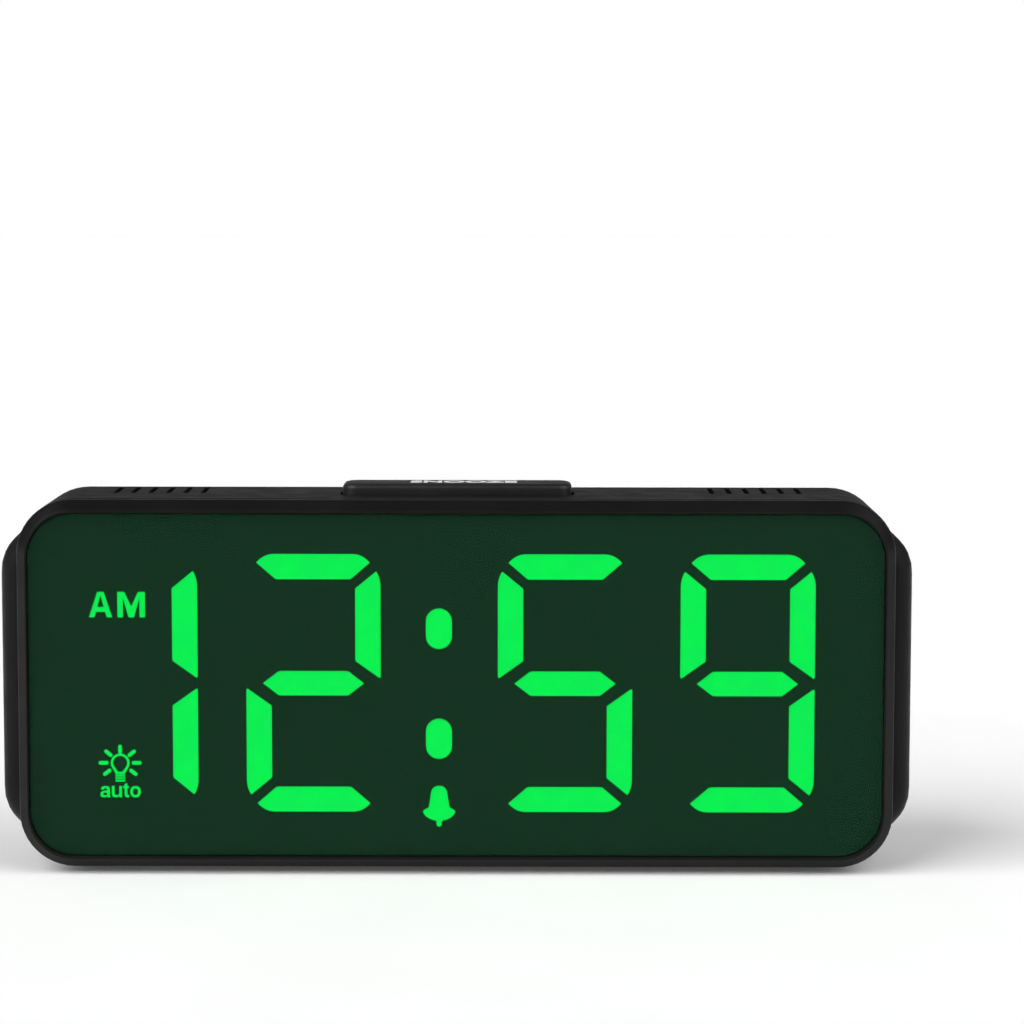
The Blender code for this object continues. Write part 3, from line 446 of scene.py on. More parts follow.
def make_finishes():
    lit = (0.0004, 0.84, 0.070)
    glow = Finish("lit_green", (0.0, 0.02, 0.002), 0.5, Specular_IOR_Level=0.0,
                  Emission_Color=(*lit, 1.0), Emission_Strength=1.68)
    glow.colour = lit
    glow.tint(glow.noise(260, 1), (0.0012, 0.80, 0.078), socket="Emission Color")

    lens = Finish("lens_acrylic", (0.0030, 0.0220, 0.0095), 0.12, Alpha=0.22, Specular_IOR_Level=0.10)
    lens.gloss(lens.noise(60, 2), 0.10, 0.16)
    lens.relief(lens.noise(90, 1), 0.05, 0.00002)

    tint = Finish("window_tint", (0.0079, 0.0430, 0.0176), 0.55, Specular_IOR_Level=0.05)
    tint.tint(tint.noise(420, 2), (0.0085, 0.0450, 0.0187))
    tint.relief(tint.noise(3000, 1), 0.2, 0.00001)

    sheet = Finish("filter_sheet", (0.008, 0.031, 0.0144), 0.35)
    sheet.tint(sheet.noise(300, 2), (0.010, 0.036, 0.017))

    guide = Finish("light_guide_milky", (0.60, 0.85, 0.62), 0.35, Transmission_Weight=0.15)
    guide.tint(guide.noise(500, 2), (0.66, 0.90, 0.68))
    guide.relief(guide.noise(2500, 2), 0.3, 0.00002)

    board = Finish("circuit_board_green", (0.012, 0.085, 0.034), 0.34)
    traces = board.cells(520)
    board.tint(traces, (0.020, 0.135, 0.055), 0.02, 0.10)
    board.relief(traces, 0.35, 0.00003)

    sensor = Finish("sensor_resin", (0.55, 0.30, 0.12), 0.18, Transmission_Weight=0.3)
    sensor.tint(sensor.noise(800, 2), (0.62, 0.36, 0.16))

    ribbon = Finish("ribbon_grey", (0.46, 0.46, 0.44), 0.50)
    wires = ribbon.bands(500, "Z")
    ribbon.tint(wires, (0.58, 0.58, 0.56), 0.2, 0.8)
    ribbon.relief(wires, 0.8, 0.0001)

    rubber = Finish("foot_rubber", (0.020, 0.020, 0.020), 0.80, Specular_IOR_Level=0.25)
    rubber.tint(rubber.noise(900, 3), (0.034, 0.033, 0.032))
    rubber.relief(rubber.noise(3000, 3), 0.6, 0.00004)

    paper = Finish("cone_paper", (0.034, 0.032, 0.030), 0.88)
    fibres = paper.noise(1800, 4)
    paper.tint(fibres, (0.060, 0.056, 0.052))
    paper.relief(fibres, 0.7, 0.00004)

    jacket = Finish("cell_sleeve", (0.035, 0.075, 0.130), 0.30, 0.2)
    along = jacket.led("SeparateXYZ", jacket.place, 0)
    stripe = jacket.led("Math", along.outputs["X"], 0)
    stripe.operation = "PINGPONG"
    band_spacing, band_start, band_edge = 0.0109, 0.0104, 0.0106
    stripe.inputs[1].default_value = band_spacing
    jacket.tint(stripe.outputs[0], (0.36, 0.38, 0.40), band_start, band_edge)
    jacket.relief(jacket.noise(700, 3), 0.15, 0.00002)

    ink = Finish("printed_white", (0.80, 0.80, 0.78), 0.55, Specular_IOR_Level=0.3)
    ink.tint(ink.noise(1500, 3), (0.88, 0.88, 0.86))

    return {
        "frame": moulded("bezel_black", (0.0050, 0.0050, 0.0054), (0.0068, 0.0067, 0.0067), 0.34,
                         0.000012, 0.09),
        "plastic": moulded("case_black", (0.0052, 0.0052, 0.0056), (0.0072, 0.0070, 0.0069), 0.44,
                           specular=0.12),
        "keys": moulded("key_black", (0.0070, 0.0070, 0.0075), (0.0100, 0.0098, 0.0096), 0.38, 0.00002),
        "dark": moulded("inner_grey", (0.050, 0.050, 0.054), (0.066, 0.065, 0.068), 0.50),
        "mask": moulded("mask_matt_black", (0.008, 0.008, 0.008), (0.013, 0.013, 0.013), 0.62),
        "steel": metal("bright_steel", (0.50, 0.50, 0.51), (0.62, 0.61, 0.60), 0.28),
        "switch": metal("tinned_can", (0.40, 0.40, 0.41), (0.52, 0.51, 0.50), 0.36, (0.1, 1, 1)),
        "contact": metal("nickel_contact", (0.55, 0.54, 0.52), (0.66, 0.65, 0.62), 0.24, (1, 0.1, 1)),
        "glow": glow, "lens": lens, "tint": tint, "filter": sheet, "guide": guide, "board": board,
        "sensor": sensor, "ribbon": ribbon, "rubber": rubber, "paper": paper, "jacket": jacket, "ink": ink,
    }


# The front.

def make_bezel():
    """The ring round the window, skirt and ledge included, as one band."""
    seat, skirt, edge = CASE_FRONT - GAP, WALL + GAP, 0.0002
    slope = eased([(0.0017, BEZEL_FRONT), (0.0015, BEZEL_FRONT), (0.0, BEZEL_EDGE), (0.0, seat - edge)],
                  0.0003, 4)[1:]
    outside = [*slope, (0.0001, seat - 0.0001), (edge, seat), (skirt, seat),
               (skirt, BEZEL_SKIRT_END - edge), (skirt + edge, BEZEL_SKIRT_END)]
    ledge = rounded(FIELD_WIDTH - 0.0040, FIELD_HEIGHT - 0.0044, 0.0048, CENTRE)
    rings = layered(across_y, (FIELD_WIDTH, FIELD_HEIGHT), FIELD_CORNER, CENTRE, (
        (0.0, LENS_BACK + GAP), (0.0, BEZEL_FRONT + 0.00022),
        (-0.00006, BEZEL_FRONT + 0.00007), (-0.00022, BEZEL_FRONT),
    ))
    rings += [across_y(case_outline(inset), y) for inset, y in outside]
    rings += deep(ledge, BEZEL_SKIRT_END, LENS_BACK + GAP)
    dress(solid("bezel_ring", rings, closed=True), "frame", stands_for=["front_bezel"])


def make_window():
    def sheet(name, finish, *stations):
        stations = [(inset + LENS_GAP, y) for inset, y in stations]
        rings = layered(across_y, (FIELD_WIDTH, FIELD_HEIGHT), FIELD_CORNER, CENTRE, stations)
        dress(solid(name, rings), finish, stands_for=["display_lens"])

    sheet("lens_window", "lens", (0.0001, LENS_FRONT), (0.00003, LENS_FRONT + 0.00003),
          (0.0, LENS_FRONT + 0.0001), (0.0, CLEAR_BACK))
    sheet("lens_tint", "tint", (0.00004, TINT_FRONT), (0.0, TINT_FRONT + 0.00004), (0.0, LENS_BACK))


# Lit shapes.

def level_bar():
    """The top bar of a digit, about the digit's middle, with its outer corners rounded away."""
    top = DIGIT_HEIGHT / 2
    corner = bent((0.0061, top), (0.0075, top - 0.0001), (0.0085, top - 0.0013))
    return mirrored([(0.0056, top - STROKE), *reversed(corner)])


def upright_bar():
    """The upper right bar of a digit."""
    side, top = DIGIT_WIDTH / 2, DIGIT_HEIGHT / 2
    corner = bent((side - 0.00065, top - 0.0026), (side - 0.0001, top - 0.0034), (side, top - 0.0046))
    return [(side - STROKE, top - 0.0052), *corner, (side, 0.0010), (side - 0.00015, 0.0008),
            (side - STROKE, 0.0034)]


def middle_bar():
    side = STROKE / 2 - 0.00005
    tip, shoulder = 0.0076, 0.0052
    return [(tip, 0.0), (shoulder, side), (-shoulder, side), (-tip, 0.0), (-shoulder, -side),
            (shoulder, -side)]


def flipped(outline, across=False, down=False):
    return [(-x if across else x, -z if down else z) for x, z in outline]


def digit_shapes(digit):
    bars = {
        "top": level_bar(), "bottom": flipped(level_bar(), down=True), "middle": middle_bar(),
        "upper_right": upright_bar(), "lower_right": flipped(upright_bar(), down=True),
        "upper_left": flipped(upright_bar(), across=True),
        "lower_left": flipped(upright_bar(), across=True, down=True),
    }
    left_out = {
        "1": ("top", "upper_left", "middle", "lower_left", "bottom"),
        "2": ("upper_left", "lower_right"),
        "5": ("upper_right", "lower_left"),
        "9": ("lower_left",),
    }[digit]
    return [outline for place, outline in bars.items() if place not in left_out]


def lit(name, outlines, holes=()):
    """A glowing shape behind the window, from flat outlines."""
    made = solid(name, *[deep(outline, LIT_FRONT, LIT_BACK) for outline in outlines])
    if holes:
        cut(made, *[deep(hole, LIT_FRONT - PAST, LIT_BACK + PAST) for hole in holes])
    return dress(made, "glow", flats=False)


def make_time():
    for place, (digit, x) in enumerate(zip(TIME_SHOWN, DIGIT_X), start=1):
        lit(f"lit_digit_{place}", [moved(outline, x, DIGIT_Z) for outline in digit_shapes(digit)])
    width, height = COLON_SIZE
    dots = [rounded(width, height, width * 0.499, (COLON_X, MID_Z + rise)) for rise in COLON_RISE]
    lit("lit_colon", dots)


def make_am():
    base, height = MID_Z + 0.01024, 0.00385
    foot, apex, inside, peak = 0.00175, 0.00047, 0.00092, 0.0033
    bar_low, bar_high = 0.00083, 0.00156

    def leg_inner(rise):
        """Half the width inside the letter's legs at a height."""
        return inside * (1 - rise / peak)

    letter = mirrored([(leg_inner(bar_low), bar_low), (inside, 0.0), (foot, 0.0), (apex, height)])
    hole = mirrored([(leg_inner(bar_high), bar_high), (0.00002, peak)])
    x = -0.0533
    lit("lit_am_a", [moved(letter, x, base)], [moved(hole, x, base)])
    side, stem, shoulder, notch = 0.00207, 0.00082, 0.00104, 0.00165
    letter = mirrored([(0.00040, 0.0), (side - stem, 0.0030), (side - stem, 0.0), (side, 0.0),
                       (side, height), (shoulder, height), (0.00001, notch)])
    lit("lit_am_m", [moved(letter, -0.04870, base)])


def capsule(start, end, width):
    """A round-ended stroke."""
    start, end = Vector(start), Vector(end)
    along = (end - start).normalized()
    turn = math.atan2(along.y, along.x)
    points = []
    for centre, first in ((end, turn - math.pi / 2), (start, turn + math.pi / 2)):
        for step in range(9):
            angle = first + math.pi * step / 8
            points.append((centre.x + width / 2 * math.cos(angle), centre.y + width / 2 * math.sin(angle)))
    return points


def make_bulb():
    """A lamp bulb with rays, the mark for the dimmer."""
    x, z = -0.05060, MID_Z - 0.01187
    radius, line, neck, neck_fall = 0.00142, 0.00036, 0.00068, 0.00172

    def glass(radius, neck, fall):
        """A round head that narrows to the neck from well below its sides."""
        turns = [math.radians(-38 + (180 + 2 * 38) * step / 32) for step in range(33)]
        return [(neck, -fall)] + [(radius * math.cos(turn), radius * math.sin(turn)) for turn in turns] + [
            (-neck, -fall)]

    outer = glass(radius, neck, neck_fall)
    inner = glass(radius - line, neck - line, neck_fall - line)
    cap = [box(0.00146, 0.00026, (0.0, -neck_fall - 0.00022 - step * 0.00040)) for step in range(3)]
    rays = [((0.0, 0.00169), (0.0, 0.00247))]
    for side in (-1, 1):
        rays += [((side * 0.00203, 0.0), (side * 0.00296, 0.0)),
                 ((side * 0.00142, 0.00118), (side * 0.00210, 0.00175)),
                 ((side * 0.00163, -0.00117), (side * 0.00232, -0.00172))]
    strokes = [capsule(start, end, 0.00058) for start, end in rays]
    lit("lit_bulb", [moved(outline, x, z) for outline in [outer, *cap, *strokes]], [moved(inner, x, z)])


def make_bell():
    """A hand bell with its clapper, the mark for a set alarm."""
    x, top = -0.00253, MID_Z - 0.01528
    dome = bent((0.00001, 0.0), (0.00118, -0.00002), (0.00127, -0.00140), 8)
    side = bent((0.00127, -0.00140), (0.00137, -0.00230), (0.00160, -0.00337), 4)
    shoulder = bent((0.00160, -0.00337), (0.00222, -0.00352), (0.00245, -0.00397), 5)
    lip = bent((0.00245, -0.00397), (0.00205, -0.00505), (0.00050, -0.00532), 6)
    clapper = trace((0.00038, -0.00545), ((0.00038, -0.00590), (0.00036, -0.00622), (0.00001, -0.00623), 5))
    half = dome[:-1] + side[:-1] + shoulder[:-1] + lip + clapper
    lit("lit_bell", [moved(mirrored(half), x, top)])


def lettering(name, words, width, boldness, thickness):
    """Words as a flat mesh, centred on x, standing on y = 0 and facing +Z."""
    curve = bpy.data.curves.new(name, "FONT")
    curve.body = words
    curve.size = 1.0
    curve.offset = boldness
    curve.resolution_u = 6
    curve.extrude = 0.5
    made = settle(new_object(name, curve))
    shape = bmesh.new()
    shape.from_mesh(made.data)
    bmesh.ops.remove_doubles(shape, verts=shape.verts, dist=0.0001)
    bmesh.ops.recalc_face_normals(shape, faces=shape.faces)
    shape.to_mesh(made.data)
    shape.free()
    across = [vertex.co.x for vertex in made.data.vertices]
    scale = width / (max(across) - min(across))
    centre = (max(across) + min(across)) / 2
    made.data.transform(Matrix.Diagonal((scale, scale, thickness, 1)) @ Matrix.Translation((-centre, 0, 0)))
    return made


def make_auto():
    """The word for the lamp bulb's mark: the display dims by itself."""
    left, base = -0.05362, MID_Z - 0.01715
    high, stroke = 0.00174, 0.00041

    def placed(outline, start):
        return moved(outline, left + start, base)

    letter = trace(
        (0.00150, 0.0), (0.00143, 0.00025), (0.00143, 0.00115),
        ((0.00143, 0.00120), (0.00143, high), (0.00076, high), 6),
        ((0.00070, high), (0.00014, high), (0.00007, 0.00122), 6),
        ((0.00047, 0.00117), (0.00054, 0.00143), (0.00076, 0.00142), 4),
        ((0.00080, 0.00142), (0.00102, 0.00140), (0.00102, 0.00110), 4),
        ((0.00060, 0.00102), (0.0, 0.00096), (0.0, 0.00050), 6),
        ((0.0, 0.00046), (0.00002, 0.0), (0.00050, 0.0), 6),
        ((0.00060, 0.0), (0.00088, 0.00002), (0.00103, 0.00022), 4), (0.00108, 0.0),
    )
    bowl = rounded(0.00059, 0.00040, 0.00018, (0.00072, 0.00053))
    lit("lit_auto_a", [placed(letter, 0.0)], [placed(bowl, 0.0)])

    letter = trace(
        (0.0, high), (0.0, 0.0006), ((0.0, 0.00055), (0.00002, 0.0), (0.00056, 0.0), 5),
        (0.00088, 0.00004), (0.00114, 0.00024), (0.00116, 0.0), (0.00154, 0.0), (0.00154, high),
        (0.00154 - stroke, high), ((0.00113, 0.00075), (0.00113, 0.00037), (0.00078, 0.00035), 5),
        ((0.00074, 0.00035), (stroke, 0.00035), (stroke, 0.00070), 5), (stroke, high),
    )
    lit("lit_auto_u", [placed(letter, 0.00171)])

    letter = trace(
        (0.00024, 0.00142), (0.0, 0.00142), (0.0, high), (0.00024, high), (0.00024, 0.00203),
        (0.00065, 0.00218), (0.00065, high), (0.00090, high), (0.00090, 0.00142), (0.00065, 0.00142),
        ((0.00065, 0.00055), (0.00065, 0.00033), (0.00091, 0.00036), 4),
        ((0.00092, 0.00003), (0.00024, -0.00012), (0.00024, 0.00052), 6),
    )
    lit("lit_auto_t", [placed(letter, 0.00341)])

    letter = rounded(0.00159, high, 0.00076, (0.000795, high / 2))
    hole = rounded(0.00075, high - 2 * 0.00037, 0.00036, (0.000795, high / 2))
    lit("lit_auto_o", [placed(letter, 0.00449)], [placed(hole, 0.00449)])


# The case.

def swell(point, normal, shed):
    """How far the cheek stands out from a point of the barrel, negative where it doesn't."""
    side = (abs(point[0]), abs(point[1] - MID_Z))
    centre = Vector((CHEEK_WIDTH / 2 - CHEEK_CORNER, CHEEK_HEIGHT / 2 - CHEEK_CORNER))
    radius = CHEEK_CORNER - shed
    along = Vector((abs(normal[0]), abs(normal[1])))
    if along.x < 0.02 or radius <= 0:
        return -1.0
    if along.y < 0.001 and side[1] <= centre.y:
        return CHEEK_WIDTH / 2 - shed - side[0]
    away = Vector(side) - centre
    lean = along.dot(away)
    reach = lean * lean - away.length_squared + radius * radius
    return -lean + math.sqrt(reach) if reach > 0 else -1.0


def barrel_points():
    """(point, normal) round the barrel, with extra points down its two sides."""
    half_width, half_height = CASE_WIDTH / 2 - CASE_CORNER, CASE_HEIGHT / 2 - CASE_CORNER
    points = []
    for turn, (side, rise) in enumerate(QUADRANTS):
        for step in range(17):
            angle = math.radians(90 * (turn + step / 16))
            normal = (math.cos(angle), math.sin(angle))
            x = side * half_width + CASE_CORNER * normal[0]
            points.append(((x, MID_Z + rise * half_height + CASE_CORNER * normal[1]), normal))
        if turn in (1, 3):
            for step in range(1, 24):
                level = MID_Z + rise * half_height * (1 - 2 * step / 24)
                points.append(((side * CASE_WIDTH / 2, level), (float(side), 0.0)))
    return points


def shed_at(y):
    """How far the cheek's outline has drawn in at a depth."""
    depth = min(y - CHEEK_FRONT, CHEEK_BACK - y)
    if depth < 0:
        return CHEEK_FILLET - 2 * depth
    if depth >= CHEEK_FILLET:
        return 0.0
    return CHEEK_FILLET * (1 - math.sqrt(1 - (1 - depth / CHEEK_FILLET) ** 2))


def case_ring(y, inset):
    ring = []
    for point, normal in barrel_points():
        proud = swell(point, normal, shed_at(y))
        if proud < BLEND:
            proud = (max(proud, -BLEND) + BLEND) ** 2 / (4 * BLEND)
        out = proud - inset
        ring.append((point[0] + normal[0] * out, y, point[1] + normal[1] * out))
    return ring


def cheek_rings(inset, front, back, fillet=CHEEK_FILLET, steps=6):
    """Rings of the space inside the two cheeks."""
    rings = []
    for end, inwards in ((front, 1), (back, -1)):
        stations = []
        for step in range(steps + 1):
            angle = math.radians(90 * step / steps)
            extra = fillet * (1 - math.sin(angle))
            outline = case_outline(inset + extra, CHEEK_WIDTH, CHEEK_HEIGHT, CHEEK_CORNER)
            stations.append(across_y(outline, end + inwards * fillet * (1 - math.cos(angle))))
        rings += stations if inwards == 1 else stations[::-1]
    return rings


def make_case():
    edge = 0.0004
    stations = [(CASE_FRONT + edge * (1 - math.cos(a)), edge * (1 - math.sin(a)))
                for a in (math.radians(30 * step) for step in range(4))]
    arc = [math.radians(90 * step / 12) for step in range(13)]
    stations += [(CHEEK_FRONT + CHEEK_FILLET * (1 - math.cos(a)), 0.0) for a in arc]
    stations += [(CHEEK_BACK - CHEEK_FILLET * (1 - math.cos(a)), 0.0) for a in reversed(arc)]
    stations += [(CHEEK_BACK + 0.0001, 0.0), (CASE_BACK - 0.0001, 0.0), (CASE_BACK, 0.0001)]
    shell = solid("case_shell", [case_ring(y, inset) for y, inset in stations])
    cut(shell, deep(case_outline(WALL), CASE_FRONT - PAST, CASE_BACK + PAST))
    cut(shell, cheek_rings(WALL, CHEEK_FRONT + WALL, CHEEK_BACK - WALL))

    rib_reach = CHEEK_WIDTH / 2 - WALL / 2 - SCREW_X
    add(shell, *[deep(circle(0.0030, spot, 32), POST_FRONT, CASE_BACK) for spot in SCREW_SPOTS])
    ribs = [box(rib_reach, 0.0016, (x + math.copysign(rib_reach / 2, x), z)) for x, z in SCREW_SPOTS]
    add(shell, *[deep(rib, POST_FRONT, TONGUE_FRONT - 2 * GAP) for rib in ribs])
    for side in (-1, 1):
        post = circle(0.0022, (side * SNOOZE_POST_X, SNOOZE_Y), 32)
        add(shell, slab(across_z, post, SNOOZE_BOARD_TOP + GAP, TOP_Z - WALL / 2))

    openings = [deep(circle(0.0016, spot, 24), POST_FRONT + 0.0005, CASE_BACK + PAST)
                for spot in SCREW_SPOTS]
    for side in (-1, 1):
        pilot = circle(0.0012, (side * SNOOZE_POST_X, SNOOZE_Y), 24)
        openings.append(slab(across_z, pilot, SNOOZE_BOARD_TOP, SNOOZE_BOARD_TOP + 0.0048))
    well_size = (SNOOZE_WIDTH + 2 * GAP, SNOOZE_DEPTH + 2 * GAP)
    openings.append(layered(across_z, well_size, SNOOZE_CORNER + GAP, (0.0, SNOOZE_Y), (
        (0.0, TOP_Z - 2 * WALL), (0.0, TOP_Z - 0.0002), (-0.00006, TOP_Z - 0.00006),
        (-0.0002, TOP_Z), (-0.0002, TOP_Z + PAST),
    )))
    for side in (-1, 1):
        for index in range(SLOT_COUNT):
            x = side * (SLOT_FIRST_X + index * SLOT_PITCH)
            slot = rounded(SLOT_WIDTH, SLOT_END - SLOT_FRONT, 0.00025, (x, (SLOT_END + SLOT_FRONT) / 2), 4)
            openings.append(slab(across_z, slot, TOP_Z - 2 * WALL, TOP_Z + PAST))
    for centre in FEET:
        openings.append(slab(across_z, circle(FOOT_RADIUS + GAP, centre), 0.0, BEZEL_LOW.z + 0.0008))
    cut(shell, *openings)
    dress(shell, "plastic", stands_for=["case_body"])


def make_feet():
    for number, centre in enumerate(FEET, start=1):
        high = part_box(f"foot_{number}")[1].z
        profile = eased([(0.0012, 0.0002), (0.0016, 0.0), (FOOT_RADIUS - 0.0003, 0.0),
                         (FOOT_RADIUS, 0.0003), (FOOT_RADIUS, high)], 0.0002)
        foot = solid(f"foot_pad_{number}", turned(across_z, profile, centre))
        dress(foot, "rubber", stands_for=[f"foot_{number}"])


# The snooze bar.

def make_snooze():
    print_depth = 0.00004
    top = SNOOZE_TOP - print_depth
    flange_top = TOP_Z - WALL - GAP
    profile = [(0.0, flange_top - GAP), (0.0, top - 0.00085), (0.00012, top - 0.00045),
               (0.00040, top - 0.00016), (0.00085, top - 0.00004), (0.00150, top)]
    size, middle = (SNOOZE_WIDTH, SNOOZE_DEPTH), (0.0, SNOOZE_Y)
    bar = solid("snooze_bar", layered(across_z, size, SNOOZE_CORNER, middle, profile))
    flange = rounded(SNOOZE_WIDTH + 0.0032, SNOOZE_DEPTH + 0.0024, SNOOZE_CORNER, middle)
    add(bar, slab(across_z, flange, flange_top - 0.0010, flange_top))
    dress(bar, "keys", "snooze", ["snooze_button"])

    label = lettering("snooze_label", "SNOOZE", width=0.0163, boldness=0.032, thickness=print_depth)
    low = min(vertex.co.y for vertex in label.data.vertices)
    high = max(vertex.co.y for vertex in label.data.vertices)
    shift = (0.0010, -0.0004)
    place = (shift[0], SNOOZE_Y - (low + high) / 2 + shift[1], SNOOZE_TOP - print_depth / 2)
    label.data.transform(Matrix.Translation(place))
    dress(label, "ink", "snooze", flats=False)

    for side, name in ((-1, "left"), (1, "right")):
        low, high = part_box(f"snooze_spring_{name}")
        wire = 0.0002
        start = (side * SPRING_X, SNOOZE_Y, low.z + wire)
        path = coil_path(start, (0, 0, 1), (0.0020, 0.0020), high.z - low.z - 2 * wire, 5, flat_ends=True)
        spring = tube(f"snooze_coil_{name}", path, wire)
        dress(spring, "steel", stands_for=[f"snooze_spring_{name}"], flats=False)
        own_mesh(spring)


# The back.

def make_cover():
    shoulder, rim_end, fillet = 0.0074, BACK_FACE - 0.0008, 0.0006
    side_inset = (CASE_WIDTH - BACK_WIDTH) / 2
    height_inset = (CASE_HEIGHT - BACK_HEIGHT) / 2

    def tapered(share, extra=0.0):
        width = CASE_WIDTH - 2 * (share * side_inset + extra)
        height = CASE_HEIGHT - 2 * (share * height_inset + extra)
        return rounded(width, height, CASE_CORNER - min(extra, 0.004), CENTRE)

    rim_share = (rim_end - shoulder) / (BACK_FACE - shoulder)
    rings = [across_y(tapered(0.0, 0.0001), COVER_FRONT), across_y(tapered(0.0), COVER_FRONT + 0.0001)]
    bend = bent((0.0, 0.0, shoulder - 0.0005), (0.0, 0.0, shoulder), (0.06, 0.0, shoulder + 0.0005), 5)
    bend += bent((rim_share, 0.0, rim_end), (1.0, 0.0, BACK_FACE), (1.0, fillet, BACK_FACE), 8)
    rings += [across_y(tapered(share, extra), y) for share, extra, y in bend]
    shell = solid("cover_shell", rings)
    add(shell, deep(case_outline(WALL + GAP), TONGUE_FRONT, COVER_FRONT + 0.0010))
    rim_wall = 0.0035
    inner_share = (BACK_INNER - shoulder) / (BACK_FACE - shoulder)
    cut(shell, [
        across_y(tapered(0.0, rim_wall), TONGUE_FRONT - PAST),
        across_y(tapered(0.0, rim_wall), shoulder),
        across_y(tapered(inner_share, WALL + 0.0004), BACK_INNER),
    ])
    bay_outer = box(2 * (BAY_HALF_WIDTH + BAY_WALL), 2 * (BAY_HALF_HEIGHT + BAY_WALL), CENTRE)
    add(shell, deep(bay_outer, BAY_FRONT - 0.0012, BACK_INNER + SUNK))
    add(shell, *[deep(circle(0.0036, spot, 32), COVER_FRONT, BACK_INNER + SUNK)
                 for spot in SCREW_SPOTS])
    speaker = (SPEAKER_X, SPEAKER_Z)
    add(shell, deep(circle(SPEAKER_RADIUS + GAP + 0.0010, speaker), 0.0090, BACK_INNER + SUNK))

    seat = (BAY_HALF_WIDTH + DOOR_SEAT, BAY_HALF_HEIGHT + DOOR_SEAT)
    bay = box(2 * BAY_HALF_WIDTH, 2 * BAY_HALF_HEIGHT, CENTRE)
    cut(shell, deep(bay, BAY_FRONT, BACK_FACE + PAST))
    cut(shell, deep(circle(SPEAKER_RADIUS + GAP, speaker), 0.0080, BACK_INNER))
    cut(shell, deep(rounded(2 * seat[0], 2 * seat[1], 0.0006, CENTRE, 4), BACK_INNER,
                    BACK_FACE + PAST))

    seat_depth = SCREW_HEAD - GAP
    edge = 0.0002
    bolt_hole = ((0.0016, COVER_FRONT - PAST), (0.0016, seat_depth), (0.0028, seat_depth),
                 (0.0028, BACK_FACE - edge), (0.0028 + edge, BACK_FACE), (0.0028 + edge, BACK_FACE + PAST))
    holes = [turned(across_y, bolt_hole, spot, 40) for spot in SCREW_SPOTS]
    key = BUTTON_RADIUS + GAP
    key_hole = ((key, BACK_INNER - PAST), (key, BACK_FACE - edge), (key + edge, BACK_FACE),
                (key + edge, BACK_FACE + PAST))
    holes += [turned(across_y, key_hole, (x, z), 40) for x in BUTTON_X for z in BUTTON_Z]
    for z in SLIDER_Z.values():
        slot = rounded(0.0040 + SLIDER_TRAVEL + 2 * GAP, 0.0032 + 2 * GAP, 0.0004, (SLIDER_X, z), 4)
        holes.append(deep(slot, BACK_INNER - PAST, BACK_FACE + PAST))
    for step in (-2, -1, 0, 1, 2):
        offset = step * 0.0040
        chord = 2 * math.sqrt(0.0105 ** 2 - offset ** 2)
        slot = rounded(0.0014, chord, 0.00069, (SPEAKER_X + offset, SPEAKER_Z), 8)
        holes.append(deep(slot, BACK_INNER - 0.0005, BACK_FACE + PAST))
    socket = rounded(0.0096, 0.0039, 0.0018, (SOCKET_X, SOCKET_Z), 10)
    holes.append(deep(socket, 0.0110, BACK_FACE + PAST))
    notch = rounded(0.0120, 0.0060, 0.0028, (0.0, MID_Z + seat[1]), 10)
    holes.append(deep(notch, BACK_FACE - 0.0010, BACK_FACE + PAST))
    for side in (-1, 1):
        tab = box(0.0068, 0.0022, (side * DOOR_TAB_X, MID_Z - BAY_HALF_HEIGHT - 0.0011))
        holes.append(deep(tab, 0.0113, BACK_INNER + 0.0001))
    cut(shell, *holes)
    dress(shell, "plastic", stands_for=["rear_cover"])


def make_door():
    half_width = BAY_HALF_WIDTH + DOOR_SEAT - GAP
    half_height = BAY_HALF_HEIGHT + DOOR_SEAT - GAP
    inner = BACK_FACE - DOOR_THICKNESS
    edge = 0.0003
    stations = ((0.0, inner), (0.0, BACK_FACE - edge), (edge * 0.3, BACK_FACE - edge * 0.3),
                (edge, BACK_FACE))
    size = (2 * half_width, 2 * half_height)
    door = solid("door_panel", layered(across_y, size, 0.0007, CENTRE, stations, 6, follow=0))
    for side in (-1, 1):
        x = side * DOOR_TAB_X
        stem = box(0.0060, 0.0010, (x, MID_Z - half_height + 0.0010))
        hook = box(0.0060, 0.0026, (x, MID_Z - half_height + 0.0002))
        add(door, deep(stem, 0.0125, inner + 0.0003))
        add(door, deep(hook, 0.0121, BACK_INNER - GAP))
    for step in range(4):
        z = MID_Z + half_height - 0.0030 - step * 0.0014
        add(door, layered(across_y, (0.0140, 0.0006), 0.0003, (0.0, z), (
            (0.0, BACK_FACE - 0.0003), (0.0, BACK_FACE + 0.0001),
            (0.00008, BACK_FACE + 0.0003), (0.0002, BACK_FACE + 0.0004),
        ), 5))
    dress(door, "plastic", "door", ["battery_door"])


def make_buttons():
    spots = [(x, z) for z in BUTTON_Z for x in BUTTON_X]
    for name, spot in zip(BUTTON_NAMES, spots):
        profile = eased([
            (0.0014, 0.0093), (0.0015, 0.0094), (0.0015, 0.0119), (0.0034, 0.0119),
            (0.0034, BACK_INNER - GAP), (BUTTON_RADIUS, BACK_INNER - GAP),
            (BUTTON_RADIUS, BUTTON_TIP - 0.0003), (BUTTON_RADIUS - 0.0003, BUTTON_TIP),
            (0.0012, BUTTON_TIP - 0.00022), (0.0003, BUTTON_TIP - 0.0003),
        ], 0.00015)
        key = solid(f"key_{name}", turned(across_y, profile, spot))
        dress(key, "keys", f"{name}_key", [f"button_{name}"])


